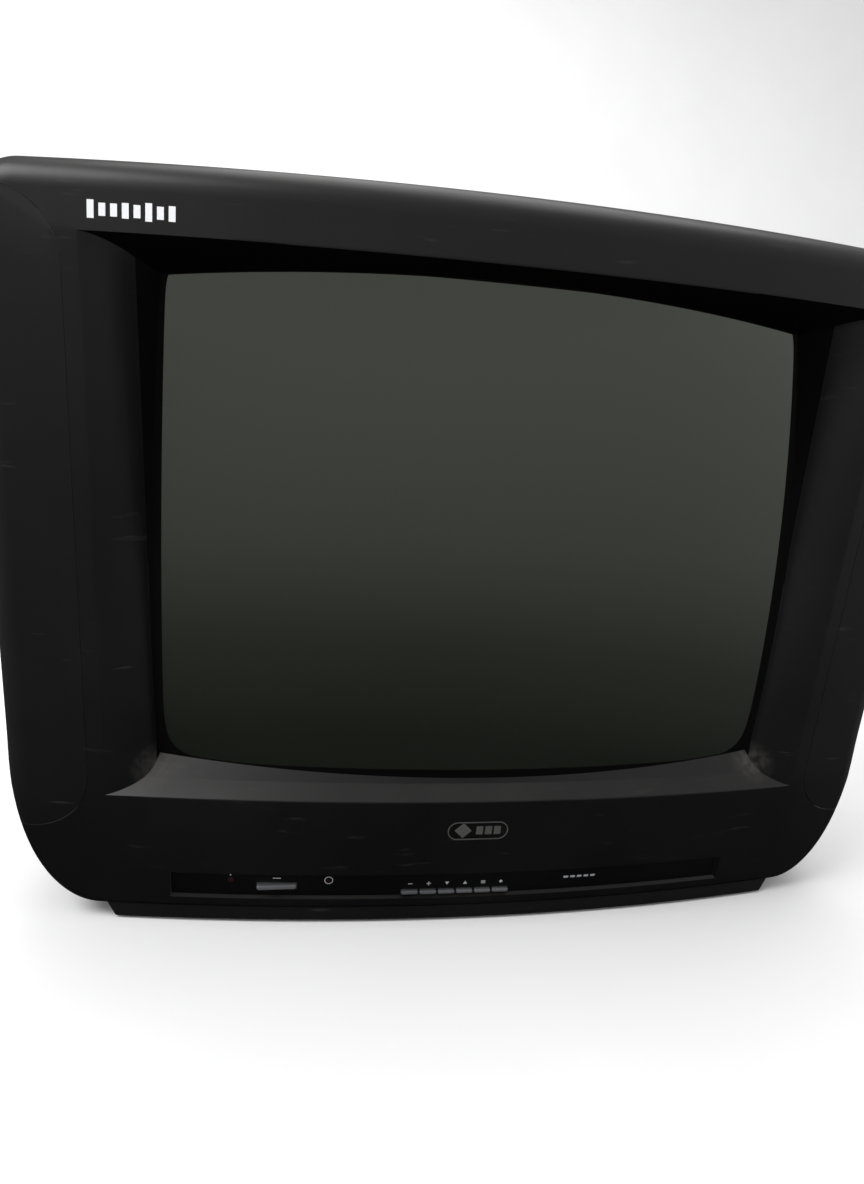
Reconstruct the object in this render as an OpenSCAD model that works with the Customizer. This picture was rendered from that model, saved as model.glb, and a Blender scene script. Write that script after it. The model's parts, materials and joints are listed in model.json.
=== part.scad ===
// A 51 cm colour television built round its cathode ray tube, as separate pieces.
// Frame: X to the right seen from the front, Y to the back, Z up.
// The origin is on the table, under the middle of the cabinet.

/* [Cabinet] */
// Width of the cabinet
cabinet_w = 598; // [594:1:604]
// Height of the cabinet with its feet
cabinet_h = 455; // [453:1:459]
// Depth from the brow to the back of the neck housing
cabinet_d = 478; // [476:1:484]
// Thickness of the moulded walls
wall = 3; // [2.6:0.1:3.2]
// Radius of the front's bow, seen from above
bow_r = 1500; // [1400:10:1700]
// Depth of the front moulding, from the brow to its rear rim
bezel_d = 134; // [132:1:136]

/* [Tube] */
// Height of the tube's axis
tube_z = 262.5; // [261:0.5:264]
// Half width of the glass panel
panel_a = 222; // [220:1:223]
// Half height of the glass panel
panel_b = 168; // [166:1:169]
// Radius of the spherical face
face_r = 850; // [820:10:900]
// Radius of the neck
neck_r = 14.55; // [14:0.05:15]

/* [Controls] */
// Gap round each button
key_gap = 0.4; // [0.3:0.05:0.5]

/* [Sound] */
// Radius of each loudspeaker's frame
speaker_r = 33; // [31:1:33]
// Height of the loudspeakers' axis
speaker_z = 250; // [245:1:255]

/* [Hidden] */
fine = 256;                              // facets of a full turn on the big curves
front_y = -cabinet_d / 2;                // the brow's front, on the centre line
back_y = cabinet_d / 2;                  // the back of the neck housing
rim_y = front_y + bezel_d;               // where the front moulding meets the rear cover
belt_y = rim_y + 40;                     // where the rear cover starts to narrow
waist_y = 130;                           // where it narrows again, to the neck housing
plinth_y = 176;                          // back of the foot
half_w = cabinet_w / 2;
base_z = 14;                             // underside of the cabinet, above its plinth
foot_h = 2;                              // rubber feet below the plinth
lip_z = 94;                              // bottom front edge of the screen opening
soffit_z = 415;                          // top front edge of the screen opening
brow_z = cabinet_h - 14;                 // where the brow starts to round over
lip_y = front_y + 40;                    // front of the lip, on the centre line
base_y = lip_y + 16;                     // front of the cabinet's bottom edge
bow_y = front_y + bow_r;                 // axis of the front's bow
corner_x = half_w - 54;                  // centres of the outline's corners
corner_z = base_z + 104;
top_corner_r = 30;
face_y = front_y + 36;                   // the middle of the glass
seam_y = face_y + 91;                    // where panel and funnel are joined
neck_y = seam_y + 204;                   // where the funnel becomes the neck
neck_end_y = neck_y + 96;
lug_y = seam_y - 16;                     // front of the mounting lugs
lug = [236, 172];                        // mounting holes, from the tube's axis
speaker_y = rim_y - 43;
floor_z = base_z + wall;                 // inside floor of the cabinet
board_z = 30;                            // underside of the main board
board_t = 1.6;
shelf_y = back_y - 17;                   // back of the lower housing
socket_row_z = 58;                       // axis of the rear sockets
aerial_x = -120;
phono_x = [-66, -46, -26];
gland = [130, 48];
well = [[262, 75], [262, 415], [278, 330]];   // rear cover screws, one side
key_w = 11.5;
key_h = 4;
key_pitch = 12.6;
key_x0 = -40.25;
key_z = 21.6;
power_key = [-129, 27, 26, 4.5];         // x, z, width, height
led_pos = [-159, 31];
ir_pos = [-95, 32];
board_y = front_y + 89;                  // front face of the control board
spindle_x = 92;                          // the focus and screen knobs
knob_z = [62, 88];
flyback_y = 120;                         // rear face of the flyback transformer
ring_y = neck_y + 30;                    // the first magnet ring
ring_t = 1.8;
ring_pitch = 2.4;
carrier_r = 17;

// The front's bow: the centre line's y at a height, and the surface's y at any place.
function centre_y(z) = z < lip_z
    ? lip_y + (lip_z - z) * (base_y - lip_y) / (lip_z - base_z)
    : lip_y - (min(z, soffit_z) - lip_z) * (lip_y - front_y) / (soffit_z - lip_z);
function surface_y(x, z) = bow_y - sqrt(pow(bow_y - centre_y(z), 2) - x * x);

// Outline of the cabinet seen from the front, drawn in by i, and by b at the bottom.
function half_outline(i, b) = concat(
    [for (t = [0:10:90]) [
        corner_x + (half_w - corner_x - i) * sin(t),
        corner_z - (corner_z - base_z - b) * cos(t)
    ]],
    [for (t = [0:10:90]) [
        half_w - top_corner_r + (top_corner_r - i) * cos(t),
        cabinet_h - top_corner_r + (top_corner_r - i) * sin(t)
    ]]
);
function outline(i, b) = let (h = half_outline(i, b), n = len(h))
    concat(h, [for (k = [n - 1:-1:0]) [-h[k].x, h[k].y]]);

module along_y(y0, y1) {
    translate([0, y1, 0]) rotate([90, 0, 0]) linear_extrude(y1 - y0) children();
}

module rod_y(x, z, r, y0, y1) {
    translate([x, y1, z]) rotate([90, 0, 0]) cylinder(h = y1 - y0, r = r, $fn = 64);
}

module both_sides() {
    children();
    mirror([1, 0, 0]) children();
}

module block(lo, hi) {
    translate(lo) cube(hi - lo);
}

// A rounded rectangle centred on the tube's axis.
module tube_rect(a, b, r) {
    translate([0, tube_z]) union() {
        square([2 * a, 2 * (b - r)], center = true);
        square([2 * (a - r), 2 * b], center = true);
        for (sx = [-1, 1], sz = [-1, 1])
            translate([sx * (a - r), sz * (b - r)]) circle(r = r, $fn = 64);
    }
}

// A profile of [distance behind the bow's axis, height], turned about that axis.
module bowed(points) {
    translate([0, bow_y, 0]) rotate([0, 0, 257])
        rotate_extrude(angle = 26, $fn = fine) polygon(points);
}

// A slab that follows the front, from depth d0 to d1 behind its surface.
module front_slab(x0, x1, z0, z1, d0, d1) {
    r0 = bow_y - centre_y(z0);
    r1 = bow_y - centre_y(z1);
    intersection() {
        bowed([[r0 - d1, z0], [r0 - d0, z0], [r1 - d0, z1], [r1 - d1, z1]]);
        block([x0, front_y - 30, z0 - 1], [x1, rim_y, z1 + 1]);
    }
}

// The whole front as one block, with every face drawn in by i.
module front_block(i) {
    inner_r = bow_y - rim_y - 40;
    brow_r = 14;
    intersection() {
        along_y(front_y - 20, rim_y + (i > 0 ? 5 : 0)) polygon(outline(i, i));
        bowed(concat(
            [[inner_r, 0], [bow_y - centre_y(0) - i, 0], [bow_y - lip_y - i, lip_z]],
            [[bow_y - front_y - i, soffit_z]],
            [for (t = [0:15:90]) [
                bow_y - front_y - brow_r + (brow_r - i) * cos(t),
                brow_z + (brow_r - i) * sin(t)
            ]],
            [[inner_r, cabinet_h - i]]
        ));
    }
}

// The funnel-shaped space in front of the glass, grown by g.
module screen_opening(g) {
    side = [
        [[206, -162], [220, -169], [235.5, -181.5], [235.5, -290]],
        [[207, -165], [215, -189], [237, -221], [237, -290]]
    ];
    heights = [lip_z - 20, soffit_z + 20];
    n = 9;
    rings = [for (k = [0, 1]) concat(
        [[0, -140, heights[k]]],
        [for (p = side[k]) [p.x + g, p.y, heights[k]]],
        [for (i = [3:-1:0]) [-side[k][i].x - g, side[k][i].y, heights[k]]]
    )];
    intersection() {
        polyhedron(
            points = concat(rings[0], rings[1]),
            faces = concat(
                [concat([0], [for (i = [n - 1:-1:1]) i])],
                [[for (i = [0:n - 1]) n + i]],
                [for (i = [0:n - 1]) [i, (i + 1) % n, n + i]],
                [for (i = [0:n - 1]) [n + i, (i + 1) % n, n + (i + 1) % n]]
            )
        );
        bowed([
            [bow_y - front_y + 30, lip_z - 6 - g],
            [bow_y - lip_y + 6, lip_z - 6 - g],
            [bow_y - lip_y - 9, lip_z + 9 - g],
            [bow_y + 135, lip_z + 16 - g],
            [bow_y + 135, soffit_z - 3 + g],
            [bow_y - front_y + 30, soffit_z + g]
        ]);
    }
}

// Everything in front of the tube's seam and inside its outline, grown by g.
module panel_body(g, back) {
    intersection() {
        along_y(face_y - 5, back) tube_rect(panel_a + g, panel_b + g, 26 + g);
        translate([0, face_y + face_r, tube_z]) sphere(r = face_r + g, $fn = fine);
    }
}

// Front view of the loudspeaker covers, grown by g. Their inner corners are rounded.
cover_x = 246;
cover_z = [69, 436];
cover_r = 38;

module cover_region(g) {
    low = cover_z[0] - g;
    high = cover_z[1] + g;
    both_sides() along_y(front_y - 20, rim_y - 8 + g) union() {
        translate([cover_x - g + cover_r, low]) square([60, high - low]);
        translate([cover_x - g, low + cover_r]) square([60, high - low - 2 * cover_r]);
        for (z = [low + cover_r, high - cover_r]) translate([cover_x - g + cover_r, z])
            circle(r = cover_r, $fn = 64);
    }
}

// The cabinet's foot, a shallow box under its floor, drawn in by i.
module plinth(y0, y1, i) {
    z0 = foot_h + i;
    z1 = base_z + (i > 0 ? 0 : 2);
    along_y(y0, y1) polygon([[-234 + i, z0], [234 - i, z0], [240 - i, z1], [-240 + i, z1]]);
}

// What the front moulding's shell leaves empty: all but the walls that lead to the
// glass, the control groove's floor and the posts that carry the tube and the rear cover.
module front_hollow() difference() {
    union() {
        front_block(wall + 2.2);
        // The middle has a single skin; the sides have a second one behind the covers.
        intersection() {
            front_block(wall);
            block([-238, -300, 0], [238, 0, cabinet_h]);
        }
    }
    screen_opening(wall);
    front_slab(-201, 193, 16, 41, 1, 9);
    for (sx = [-1, 1]) {
        for (sz = [-1, 1]) rod_y(sx * lug.x, tube_z + sz * lug.y, 6, front_y - 9, lug_y);
        for (w = well) {
            rod_y(sx * w.x, w.y, 6, rim_y - 22, rim_y);
            block(
                [min(sx * w.x, sx * half_w), rim_y - 22, w.y - 1],
                [max(sx * w.x, sx * half_w), rim_y - 2, w.y + 1]
            );
        }
    }
}

module front_plinth() difference() {
    plinth_r = bow_y - base_y - 1;
    intersection() {
        plinth(front_y, rim_y, 0);
        bowed([[1330, 0], [plinth_r, 0], [plinth_r, 20], [1330, 20]]);
    }
    plinth(base_y + 20, rim_y + 5, wall);
}

module front_bezel() color([0.16, 0.16, 0.18]) difference() {
    union() {
        difference() {
            front_block(0);
            front_hollow();
        }
        front_plinth();
    }
    screen_opening(0);
    panel_body(0.5, rim_y + 10);
    difference() {
        cover_region(0.4);
        front_block(wall);
    }
    for (sx = [-1, 1]) {
        translate([sx * (half_w - 20), speaker_y, speaker_z]) rotate([0, 90, 0])
            cylinder(h = 40, r = speaker_r - 3, center = true, $fn = 64);
        for (sz = [-1, 1])
            rod_y(sx * lug.x, tube_z + sz * lug.y, 2.5, lug_y - 24, lug_y + 1);
        for (w = well) rod_y(sx * w.x, w.y, 2.05, rim_y - 18, rim_y + 1);
    }
    // The control groove, the holes in its floor and the badge's seat.
    front_slab(-198, 190, 19, 38, -30, 6);
    key_holes(0.8);
    rod_y(led_pos.x, led_pos.y, 2.2, front_y, board_y);
    rod_y(ir_pos.x, ir_pos.y, 3.2, front_y, board_y);
    front_slab(-17, 19, 66, 78, -5, 0.8);
}

// The rear cover's outside, or its hollow when i is the wall's thickness.
module cover_slice(y, a, z0, z1, r) {
    along_y(y, y + 0.1) union() {
        translate([-a + r, z0]) square([2 * (a - r), z1 - z0]);
        translate([-a, z0 + r]) square([2 * a, z1 - z0 - 2 * r]);
        for (sx = [-1, 1], z = [z0 + r, z1 - r])
            translate([sx * (a - r), z]) circle(r = r, $fn = 32);
    }
}

module rear_shell(i) {
    along_y(rim_y + 0.3 - i, belt_y - i) polygon(outline(i, i));
    hull() {
        along_y(belt_y - 0.1 - 1.5 * i, belt_y) polygon(outline(9 + i, i));
        cover_slice(waist_y, 205 - i, base_z + i, 398 - i, 24);
    }
    hull() {
        cover_slice(waist_y - 1, 205 - i, base_z + i, 398 - i, 24);
        cover_slice(back_y - 0.1 - i, 112 - i, 172 + i, 352 - i, 24);
    }
    hull() {
        cover_slice(waist_y - 1, 198 - i, base_z + i, 150 - i, 12);
        cover_slice(shelf_y - 0.1 - i, 186 - i, base_z + i, 132 - i, 12);
    }
}

// The rear half of the foot, drawn in by i, which narrows with the cover above it.
module rear_plinth(i) intersection() {
    plinth(rim_y + 0.3 - i, plinth_y - i, i);
    linear_extrude(base_z + 2) polygon([
        [-240 + i, rim_y - 5], [240 - i, rim_y - 5], [240 - i, belt_y - 20],
        [188 - i, plinth_y + 5], [-188 + i, plinth_y + 5], [-240 + i, belt_y - 20]
    ]);
}

module rear_cover() color([0.13, 0.13, 0.14]) difference() {
    union() {
        rear_shell(0);
        rear_plinth(0);
    }
    // The hollow, all but the wells that the screws go down.
    difference() {
        rear_shell(wall);
        for (sx = [-1, 1], w = well) rod_y(sx * w.x, w.y, 8, rim_y, 80);
    }
    rear_plinth(wall);
    for (sx = [-1, 1], w = well) {
        rod_y(sx * w.x, w.y, 6, rim_y + 6, 100);
        rod_y(sx * w.x, w.y, 2.4, rim_y - 1, rim_y + 7);
    }
    // The window for the sockets and the hole for the mains lead.
    block([-150, shelf_y - 10, 42], [-8, shelf_y + 5, 76]);
    rod_y(gland.x, gland.y, 7.2, shelf_y - 10, shelf_y + 5);
    // Cooling slots in the sloping top, the lower back and the neck housing.
    for (k = [-11:11]) block([k * 15 - 2, -30, 380], [k * 15 + 2, 60, 460]);
    for (k = [0:8]) block([20 + k * 17, shelf_y - 6, 80], [24 + k * 17, shelf_y + 3, 118]);
    for (k = [-5:5]) block([k * 15 - 2, back_y - 8, 200], [k * 15 + 2, back_y + 3, 325]);
}

module speaker_cover(s) {
    difference() {
        intersection() {
            difference() {
                front_block(0);
                front_block(wall - 0.3);
            }
            cover_region(0);
            block([s > 0 ? 0 : -400, -400, 0], [s > 0 ? 400 : 0, 0, 500]);
        }
        // Sound slots in the outward face.
        for (k = [0:13]) block(
            [s > 0 ? half_w - 6 : -half_w - 6, speaker_y - 27, 194 + k * 8],
            [s > 0 ? half_w + 6 : -half_w + 6, speaker_y + 27, 197 + k * 8]
        );
    }
}

module speaker_cover_left() color([0.17, 0.17, 0.19]) speaker_cover(-1);

module speaker_cover_right() color([0.17, 0.17, 0.19]) speaker_cover(1);

module control_strip() color([0.03, 0.03, 0.04]) difference() {
    front_slab(-197.6, 189.6, 19.4, 37.6, 3.5, 5.9);
    key_holes(key_gap);
    rod_y(led_pos.x, led_pos.y, 1.8, front_y, board_y);
    rod_y(ir_pos.x, ir_pos.y, 2.3, front_y, board_y);
}

// A plain diamond and three bars, set in the badge's seat.
module badge() color([0.75, 0.76, 0.78]) {
    intersection() {
        front_slab(-17, -1, 64, 80, -0.2, 0.7);
        translate([-9, front_y, 72]) rotate([0, 45, 0]) translate([-3.9, 0, -3.9])
            cube([7.8, bezel_d, 7.8]);
    }
    for (k = [0:2]) front_slab(k * 6, k * 6 + 4.4, 69, 75, 0.1, 0.7);
}

module rubber_feet() color([0.08, 0.08, 0.08])
    for (p = [[200, -150], [168, 150]], s = [-1, 1])
        translate([s * p.x, p.y, 0]) cylinder(h = foot_h, r = 10, $fn = 64);

module rear_cover_screws() color([0.5, 0.5, 0.52])
    for (sx = [-1, 1], w = well) difference() {
        union() {
            rod_y(sx * w.x, w.y, 2, rim_y - 16, rim_y + 6);
            rod_y(sx * w.x, w.y, 4, rim_y + 6, rim_y + 9);
        }
        translate([sx * w.x, rim_y + 8.5, w.y]) cube([1.2, 2.5, 5], center = true);
        translate([sx * w.x, rim_y + 8.5, w.y]) cube([5, 2.5, 1.2], center = true);
    }

module terminal_plate() color([0.1, 0.1, 0.1]) difference() {
    block([-156, shelf_y - wall - 2.4, 36], [-4, shelf_y - wall - 0.2, 82]);
    rod_y(aerial_x, socket_row_z, 6.6, shelf_y - 10, shelf_y);
    for (x = phono_x) rod_y(x, socket_row_z, 5, shelf_y - 10, shelf_y);
}

module mains_cord_gland() color([0.05, 0.05, 0.05])
    translate([gland.x, shelf_y + 4, gland.y]) rotate([90, 0, 0]) rotate_extrude($fn = 64)
        polygon([[3.75, 0], [9, 0], [9, 3.8], [7, 3.8], [7, 8], [8.6, 8], [8.2, 14], [3.75, 14]]);

// Holes for the buttons, wider than them by g on each side.
module key_holes(g) {
    for (k = [0:5]) block(
        [key_x0 + k * key_pitch - key_w / 2 - g, front_y, key_z - key_h / 2 - g],
        [key_x0 + k * key_pitch + key_w / 2 + g, board_y - 12, key_z + key_h / 2 + g]
    );
    block(
        [power_key[0] - power_key[2] / 2 - g, front_y, power_key[1] - power_key[3] / 2 - g],
        [power_key[0] + power_key[2] / 2 + g, board_y - 12, power_key[1] + power_key[3] / 2 + g]
    );
}

// A function button: its cap, a collar behind the strip and a stem for the switch.
module function_button(k) {
    x = key_x0 + k * key_pitch;
    y0 = surface_y(x, key_z) + 1.6;
    union() {
        block([x - key_w / 2, y0, key_z - key_h / 2], [x + key_w / 2, y0 + 14, key_z + key_h / 2]);
        block([x - 2, y0 + 13, key_z - 1.5], [x + 2, board_y - 7, key_z + 1.5]);
    }
}

module volume_down_button() color([0.12, 0.12, 0.13]) function_button(0);

module volume_up_button() color([0.12, 0.12, 0.13]) function_button(1);

module programme_down_button() color([0.12, 0.12, 0.13]) function_button(2);

module programme_up_button() color([0.12, 0.12, 0.13]) function_button(3);

module menu_button() color([0.12, 0.12, 0.13]) function_button(4);

module av_button() color([0.12, 0.12, 0.13]) function_button(5);

module power_button() color([0.12, 0.12, 0.13]) {
    x = power_key[0];
    z = power_key[1];
    y0 = surface_y(x, z) + 0.6;
    union() {
        block(
            [x - power_key[2] / 2, y0, z - power_key[3] / 2],
            [x + power_key[2] / 2, y0 + 12, z + power_key[3] / 2]
        );
        block([x - 3, y0 + 11, z - 2], [x + 3, board_y - 1, z + 2]);
    }
}

module power_switch() color([0.2, 0.2, 0.22]) difference() {
    block([-141, board_y - 8, 19.5], [-117, board_y + 22, 34.5]);
    block([-132.4, board_y - 9, 24.6], [-125.6, board_y + 8, 29.4]);
}

module front_control_board() color([0.1, 0.3, 0.15]) difference() {
    block([-178, board_y, 18.5], [40, board_y + board_t, 42]);
    block([-142, board_y - 1, 18], [-116, board_y + 3, 35.5]);
}

module tact_switches() color([0.15, 0.15, 0.15])
    for (k = [0:5]) union() {
        x = key_x0 + k * key_pitch;
        block([x - 3, board_y - 3.6, key_z - 2.8], [x + 3, board_y, key_z + 3.2]);
        rod_y(x, key_z, 1.4, board_y - 5, board_y - 3);
    }

module standby_led() color([0.8, 0.1, 0.1])
    rod_y(led_pos.x, led_pos.y, 1.5, surface_y(led_pos.x, led_pos.y) + 3.2, board_y);

module ir_window() color([0.2, 0.02, 0.04])
    rod_y(ir_pos.x, ir_pos.y, 2, surface_y(ir_pos.x, ir_pos.y) + 3.2, board_y - 8);

module ir_receiver() color([0.1, 0.1, 0.1])
    block([ir_pos.x - 3, board_y - 6, ir_pos.y - 3.5], [ir_pos.x + 3, board_y, ir_pos.y + 3.5]);

module crt_faceplate() color([0.25, 0.28, 0.26]) difference() {
    panel_body(0, seam_y);
    intersection() {
        along_y(face_y - 5, seam_y + 1) tube_rect(panel_a - 9, panel_b - 9, 18);
        translate([0, face_y + face_r, tube_z]) sphere(r = face_r - 12, $fn = fine);
    }
}

// The funnel's section at s from 0 at the seam to 1 at the neck, drawn in by i.
function funnel_y(s) = seam_y + 0.2 + (neck_y - seam_y - 0.2) * s;
function funnel_half(size, s, i) = neck_r + (size - 3 - neck_r) * pow(1 - s, 1.15 + 1.1 * s * s) - i;
function funnel_point(s, angle, i) = let (
        a = funnel_half(panel_a, s, i),
        b = funnel_half(panel_b, s, i),
        n = 9 - 7 * pow(s, 0.7),
        r = pow(pow(abs(cos(angle)) / a, n) + pow(abs(sin(angle)) / b, n), -1 / n)
    ) [r * cos(angle), funnel_y(s), tube_z + r * sin(angle)];

module crt_funnel() color([0.2, 0.2, 0.2]) {
    steps = 11;
    around = 48;
    rings = concat(
        [for (k = [0:steps]) [k / steps, 0]],
        [for (k = [steps:-1:0]) [k / steps, 1.7 + 4 * (1 - k / steps)]]
    );
    count = len(rings);
    polyhedron(
        points = [for (ring = rings, j = [0:around - 1])
            funnel_point(ring[0], 360 * j / around, ring[1])],
        faces = [for (k = [0:count - 1], j = [0:around - 1], half = [0, 1]) let (
                a = k * around + j,
                b = k * around + (j + 1) % around,
                c = ((k + 1) % count) * around + j,
                d = ((k + 1) % count) * around + (j + 1) % around
            ) half == 0 ? [a, b, c] : [b, d, c]]
    );
}

module turned_y(y) {
    translate([0, y, tube_z]) rotate([-90, 0, 0]) rotate_extrude($fn = 96) children();
}

module crt_neck() color([0.6, 0.65, 0.65]) {
    length = neck_end_y - neck_y;
    turned_y(neck_y + 0.2) polygon([
        [neck_r - 1.6, 0], [neck_r, 0], [neck_r, length - 3], [neck_r - 3, length],
        [0, length], [0, length - 2.4], [neck_r - 4.5, length - 2.4], [neck_r - 1.6, length - 5]
    ]);
}

module electron_gun() color([0.75, 0.75, 0.78]) {
    turned_y(neck_y + 8) union() {
        for (k = [0:4]) translate([0, k * 13]) square([10.5 - k * 0.4, 9]);
        square([8, 62]);
    }
    for (a = [0, 120, 240]) translate([0, neck_y + 69, tube_z]) rotate([-90, a, 0])
        translate([4.5, 0, 0]) cylinder(h = 14, r = 2.6, $fn = 32);
}

module implosion_band() color([0.6, 0.6, 0.62]) difference() {
    union() {
        along_y(lug_y - 10, lug_y + 12) tube_rect(panel_a + 1.6, panel_b + 1.6, 27.6);
        for (sx = [-1, 1], sz = [-1, 1]) along_y(lug_y, lug_y + 2)
            translate([0, tube_z]) union() {
                translate([sx * lug.x, sz * lug.y]) circle(r = 7, $fn = 48);
                polygon([
                    [sx * 205, sz * 166], [sx * 219, sz * 150],
                    [sx * 242.6, sz * 169.6], [sx * 233, sz * 178]
                ]);
            }
    }
    along_y(lug_y - 12, lug_y + 14) tube_rect(panel_a + 0.3, panel_b + 0.3, 26.3);
    for (sx = [-1, 1], sz = [-1, 1])
        rod_y(sx * lug.x, tube_z + sz * lug.y, 3, lug_y - 1, lug_y + 3);
}

module tube_mounting_screws() color([0.7, 0.7, 0.6])
    for (sx = [-1, 1], sz = [-1, 1]) union() {
        rod_y(sx * lug.x, tube_z + sz * lug.y, 2.45, lug_y - 22, lug_y + 4);
        rod_y(sx * lug.x, tube_z + sz * lug.y, 5.5, lug_y + 2.1, lug_y + 3.2);
        translate([sx * lug.x, lug_y + 7, tube_z + sz * lug.y]) rotate([90, 0, 0])
            cylinder(h = 4, r = 4.6, $fn = 6);
    }

module shadow_mask() color([0.35, 0.35, 0.36]) difference() {
    intersection() {
        along_y(face_y, seam_y - 8) tube_rect(207, 153, 14);
        translate([0, face_y + face_r, tube_z]) sphere(r = face_r - 24, $fn = fine);
    }
    intersection() {
        along_y(face_y, seam_y - 7) tube_rect(205.6, 151.6, 12.6);
        translate([0, face_y + face_r, tube_z]) sphere(r = face_r - 25, $fn = fine);
    }
}

module degaussing_coil() color([0.1, 0.1, 0.1]) {
    a = 229;
    b = 173;
    bend = 40;
    wire = 5.5;
    y = seam_y + 15;
    both_sides() translate([a, y, tube_z - b + bend])
        cylinder(h = 2 * (b - bend), r = wire, $fn = 32);
    for (sz = [-1, 1]) translate([-a + bend, y, tube_z + sz * b]) rotate([0, 90, 0])
        cylinder(h = 2 * (a - bend), r = wire, $fn = 32);
    both_sides() for (flip = [0, 1])
        translate([a - bend, y, tube_z + (flip * 2 - 1) * (b - bend)])
            rotate([90, 0, 0]) rotate([0, 0, flip ? 0 : -90])
                rotate_extrude(angle = 90, $fn = 96) translate([bend, 0]) circle(r = wire, $fn = 32);
}

// The yoke's inner surface: distance from the tube's axis, from bell mouth to collar.
yoke_bell = [[62, 40], [58, 44], [44, 57], [34, 72], [26, 86], [20, 98], [16.5, 108]];

module yoke_shell(d0, d1, first, last) {
    turned_y(neck_y - 110) polygon(concat(
        [for (k = [first:last]) [yoke_bell[k][0] + d0, yoke_bell[k][1]]],
        [for (k = [last:-1:first]) [yoke_bell[k][0] + d1, yoke_bell[k][1]]]
    ));
}

module yoke_housing() color([0.85, 0.85, 0.82]) union() {
    yoke_shell(0, 2, 0, 6);
    turned_y(neck_y - 110) translate([62, 40]) square([18, 3]);
    turned_y(neck_y - 110) polygon([
        [14.9, 107.5], [38, 107.5], [38, 110], [17, 110], [17, 126], [14.9, 126]
    ]);
}

module yoke_coils() color([0.7, 0.35, 0.12]) union() {
    yoke_shell(2.4, 7, 1, 5);
    turned_y(neck_y - 110) translate([68, 52]) circle(r = 6, $fn = 48);
    turned_y(neck_y - 110) translate([29, 99]) circle(r = 5, $fn = 48);
}

module yoke_core() color([0.25, 0.24, 0.24]) turned_y(neck_y - 110) polygon([
    [54, 60], [62, 60], [46, 90], [38, 90]
]);

module yoke_clamp() color([0.7, 0.7, 0.72]) difference() {
    union() {
        turned_y(neck_y + 4) translate([17.3, 0]) square([2, 8]);
        block([-5, neck_y + 4, tube_z + 18.5], [5, neck_y + 12, tube_z + 28]);
    }
    block([-1, neck_y + 3, tube_z + 10], [1, neck_y + 13, tube_z + 30]);
    translate([-10, neck_y + 8, tube_z + 24]) rotate([0, 90, 0]) cylinder(h = 20, r = 1.6, $fn = 32);
}

module magnet_carrier() color([0.15, 0.15, 0.15]) turned_y(neck_y + 20) polygon([
    [14.65, 0], [22, 0], [22, 8], [carrier_r, 8], [carrier_r, 25], [14.65, 25]
]);

module magnet_ring(k, lean) {
    y = ring_y + k * ring_pitch;
    translate([0, y, tube_z]) rotate([-90, lean, 0]) difference() {
        union() {
            cylinder(h = ring_t, r = 24, $fn = 96);
            translate([22, -2.5, 0]) cube([10, 5, ring_t]);
        }
        translate([0, 0, -1]) cylinder(h = ring_t + 2, r = carrier_r + 0.06, $fn = 96);
    }
}

module purity_ring_front() color([0.85, 0.8, 0.7]) magnet_ring(0, 60);

module purity_ring_rear() color([0.85, 0.8, 0.7]) magnet_ring(1, 80);

module four_pole_ring_front() color([0.3, 0.5, 0.7]) magnet_ring(2, 95);

module four_pole_ring_rear() color([0.3, 0.5, 0.7]) magnet_ring(3, 115);

module six_pole_ring_front() color([0.7, 0.3, 0.3]) magnet_ring(4, 130);

module six_pole_ring_rear() color([0.7, 0.3, 0.3]) magnet_ring(5, 150);

module crt_socket() color([0.85, 0.85, 0.8]) difference() {
    rod_y(0, tube_z, 19, neck_end_y + 0.4, neck_end_y + 10);
    for (a = [20:30:340]) translate([7.5 * cos(a), neck_end_y, tube_z + 7.5 * sin(a)])
        rotate([-90, 0, 0]) cylinder(h = 8, r = 0.8, $fn = 24);
}

module neck_board() color([0.1, 0.35, 0.18]) union() {
    y = neck_end_y + 10;
    block([-48, y, tube_z - 45], [42, y + board_t, tube_z + 40]);
    for (x = [-36, -16, 16]) block([x, y + 1.5, tube_z + 12], [x + 12, y + 11, tube_z + 34]);
    for (x = [-30, -8, 14]) rod_y(x, tube_z - 28, 5, y + 1.5, y + 14);
}

cap_s = 0.46;                            // how far along the funnel the anode cap sits
cap_lean = 45;

module anode_cap() color([0.12, 0.06, 0.05]) {
    seat = funnel_point(cap_s, 90, 0);
    translate(seat) rotate([-cap_lean, 0, 0]) translate([0, 0, 1.5]) rotate_extrude($fn = 64)
        polygon([[0, 0], [26, 0], [27, 1.5], [20, 5], [9, 8], [7, 14], [0, 15]]);
}

// A round lead of radius r swept through its points, with n sides.
function unit(v) = v / norm(v);
function heading(p, i) = unit(p[min(i + 1, len(p) - 1)] - p[max(i - 1, 0)]);
function lead_ring(p, i, r, n) = let (
        t = heading(p, i),
        u = unit(cross(t, abs(t.z) > 0.9 ? [1, 0, 0] : [0, 0, 1])),
        v = cross(t, u)
    ) [for (j = [0:n - 1]) p[i] + r * (u * cos(360 * j / n) + v * sin(360 * j / n))];

module lead(p, r, n) {
    m = len(p);
    polyhedron(
        points = [for (i = [0:m - 1]) each lead_ring(p, i, r, n)],
        faces = concat(
            [[for (j = [0:n - 1]) j]],
            [[for (j = [n - 1:-1:0]) (m - 1) * n + j]],
            [for (i = [0:m - 2], j = [0:n - 1], half = [0, 1]) let (
                    a = i * n + j,
                    b = i * n + (j + 1) % n
                ) half == 0 ? [b, a, a + n] : [b, a + n, b + n]]
        )
    );
}

// A smooth line through four control points.
function curve(p, steps) = [for (k = [0:steps]) let (t = k / steps, u = 1 - t)
    u * u * u * p[0] + 3 * u * u * t * p[1] + 3 * u * t * t * p[2] + t * t * t * p[3]];

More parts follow.
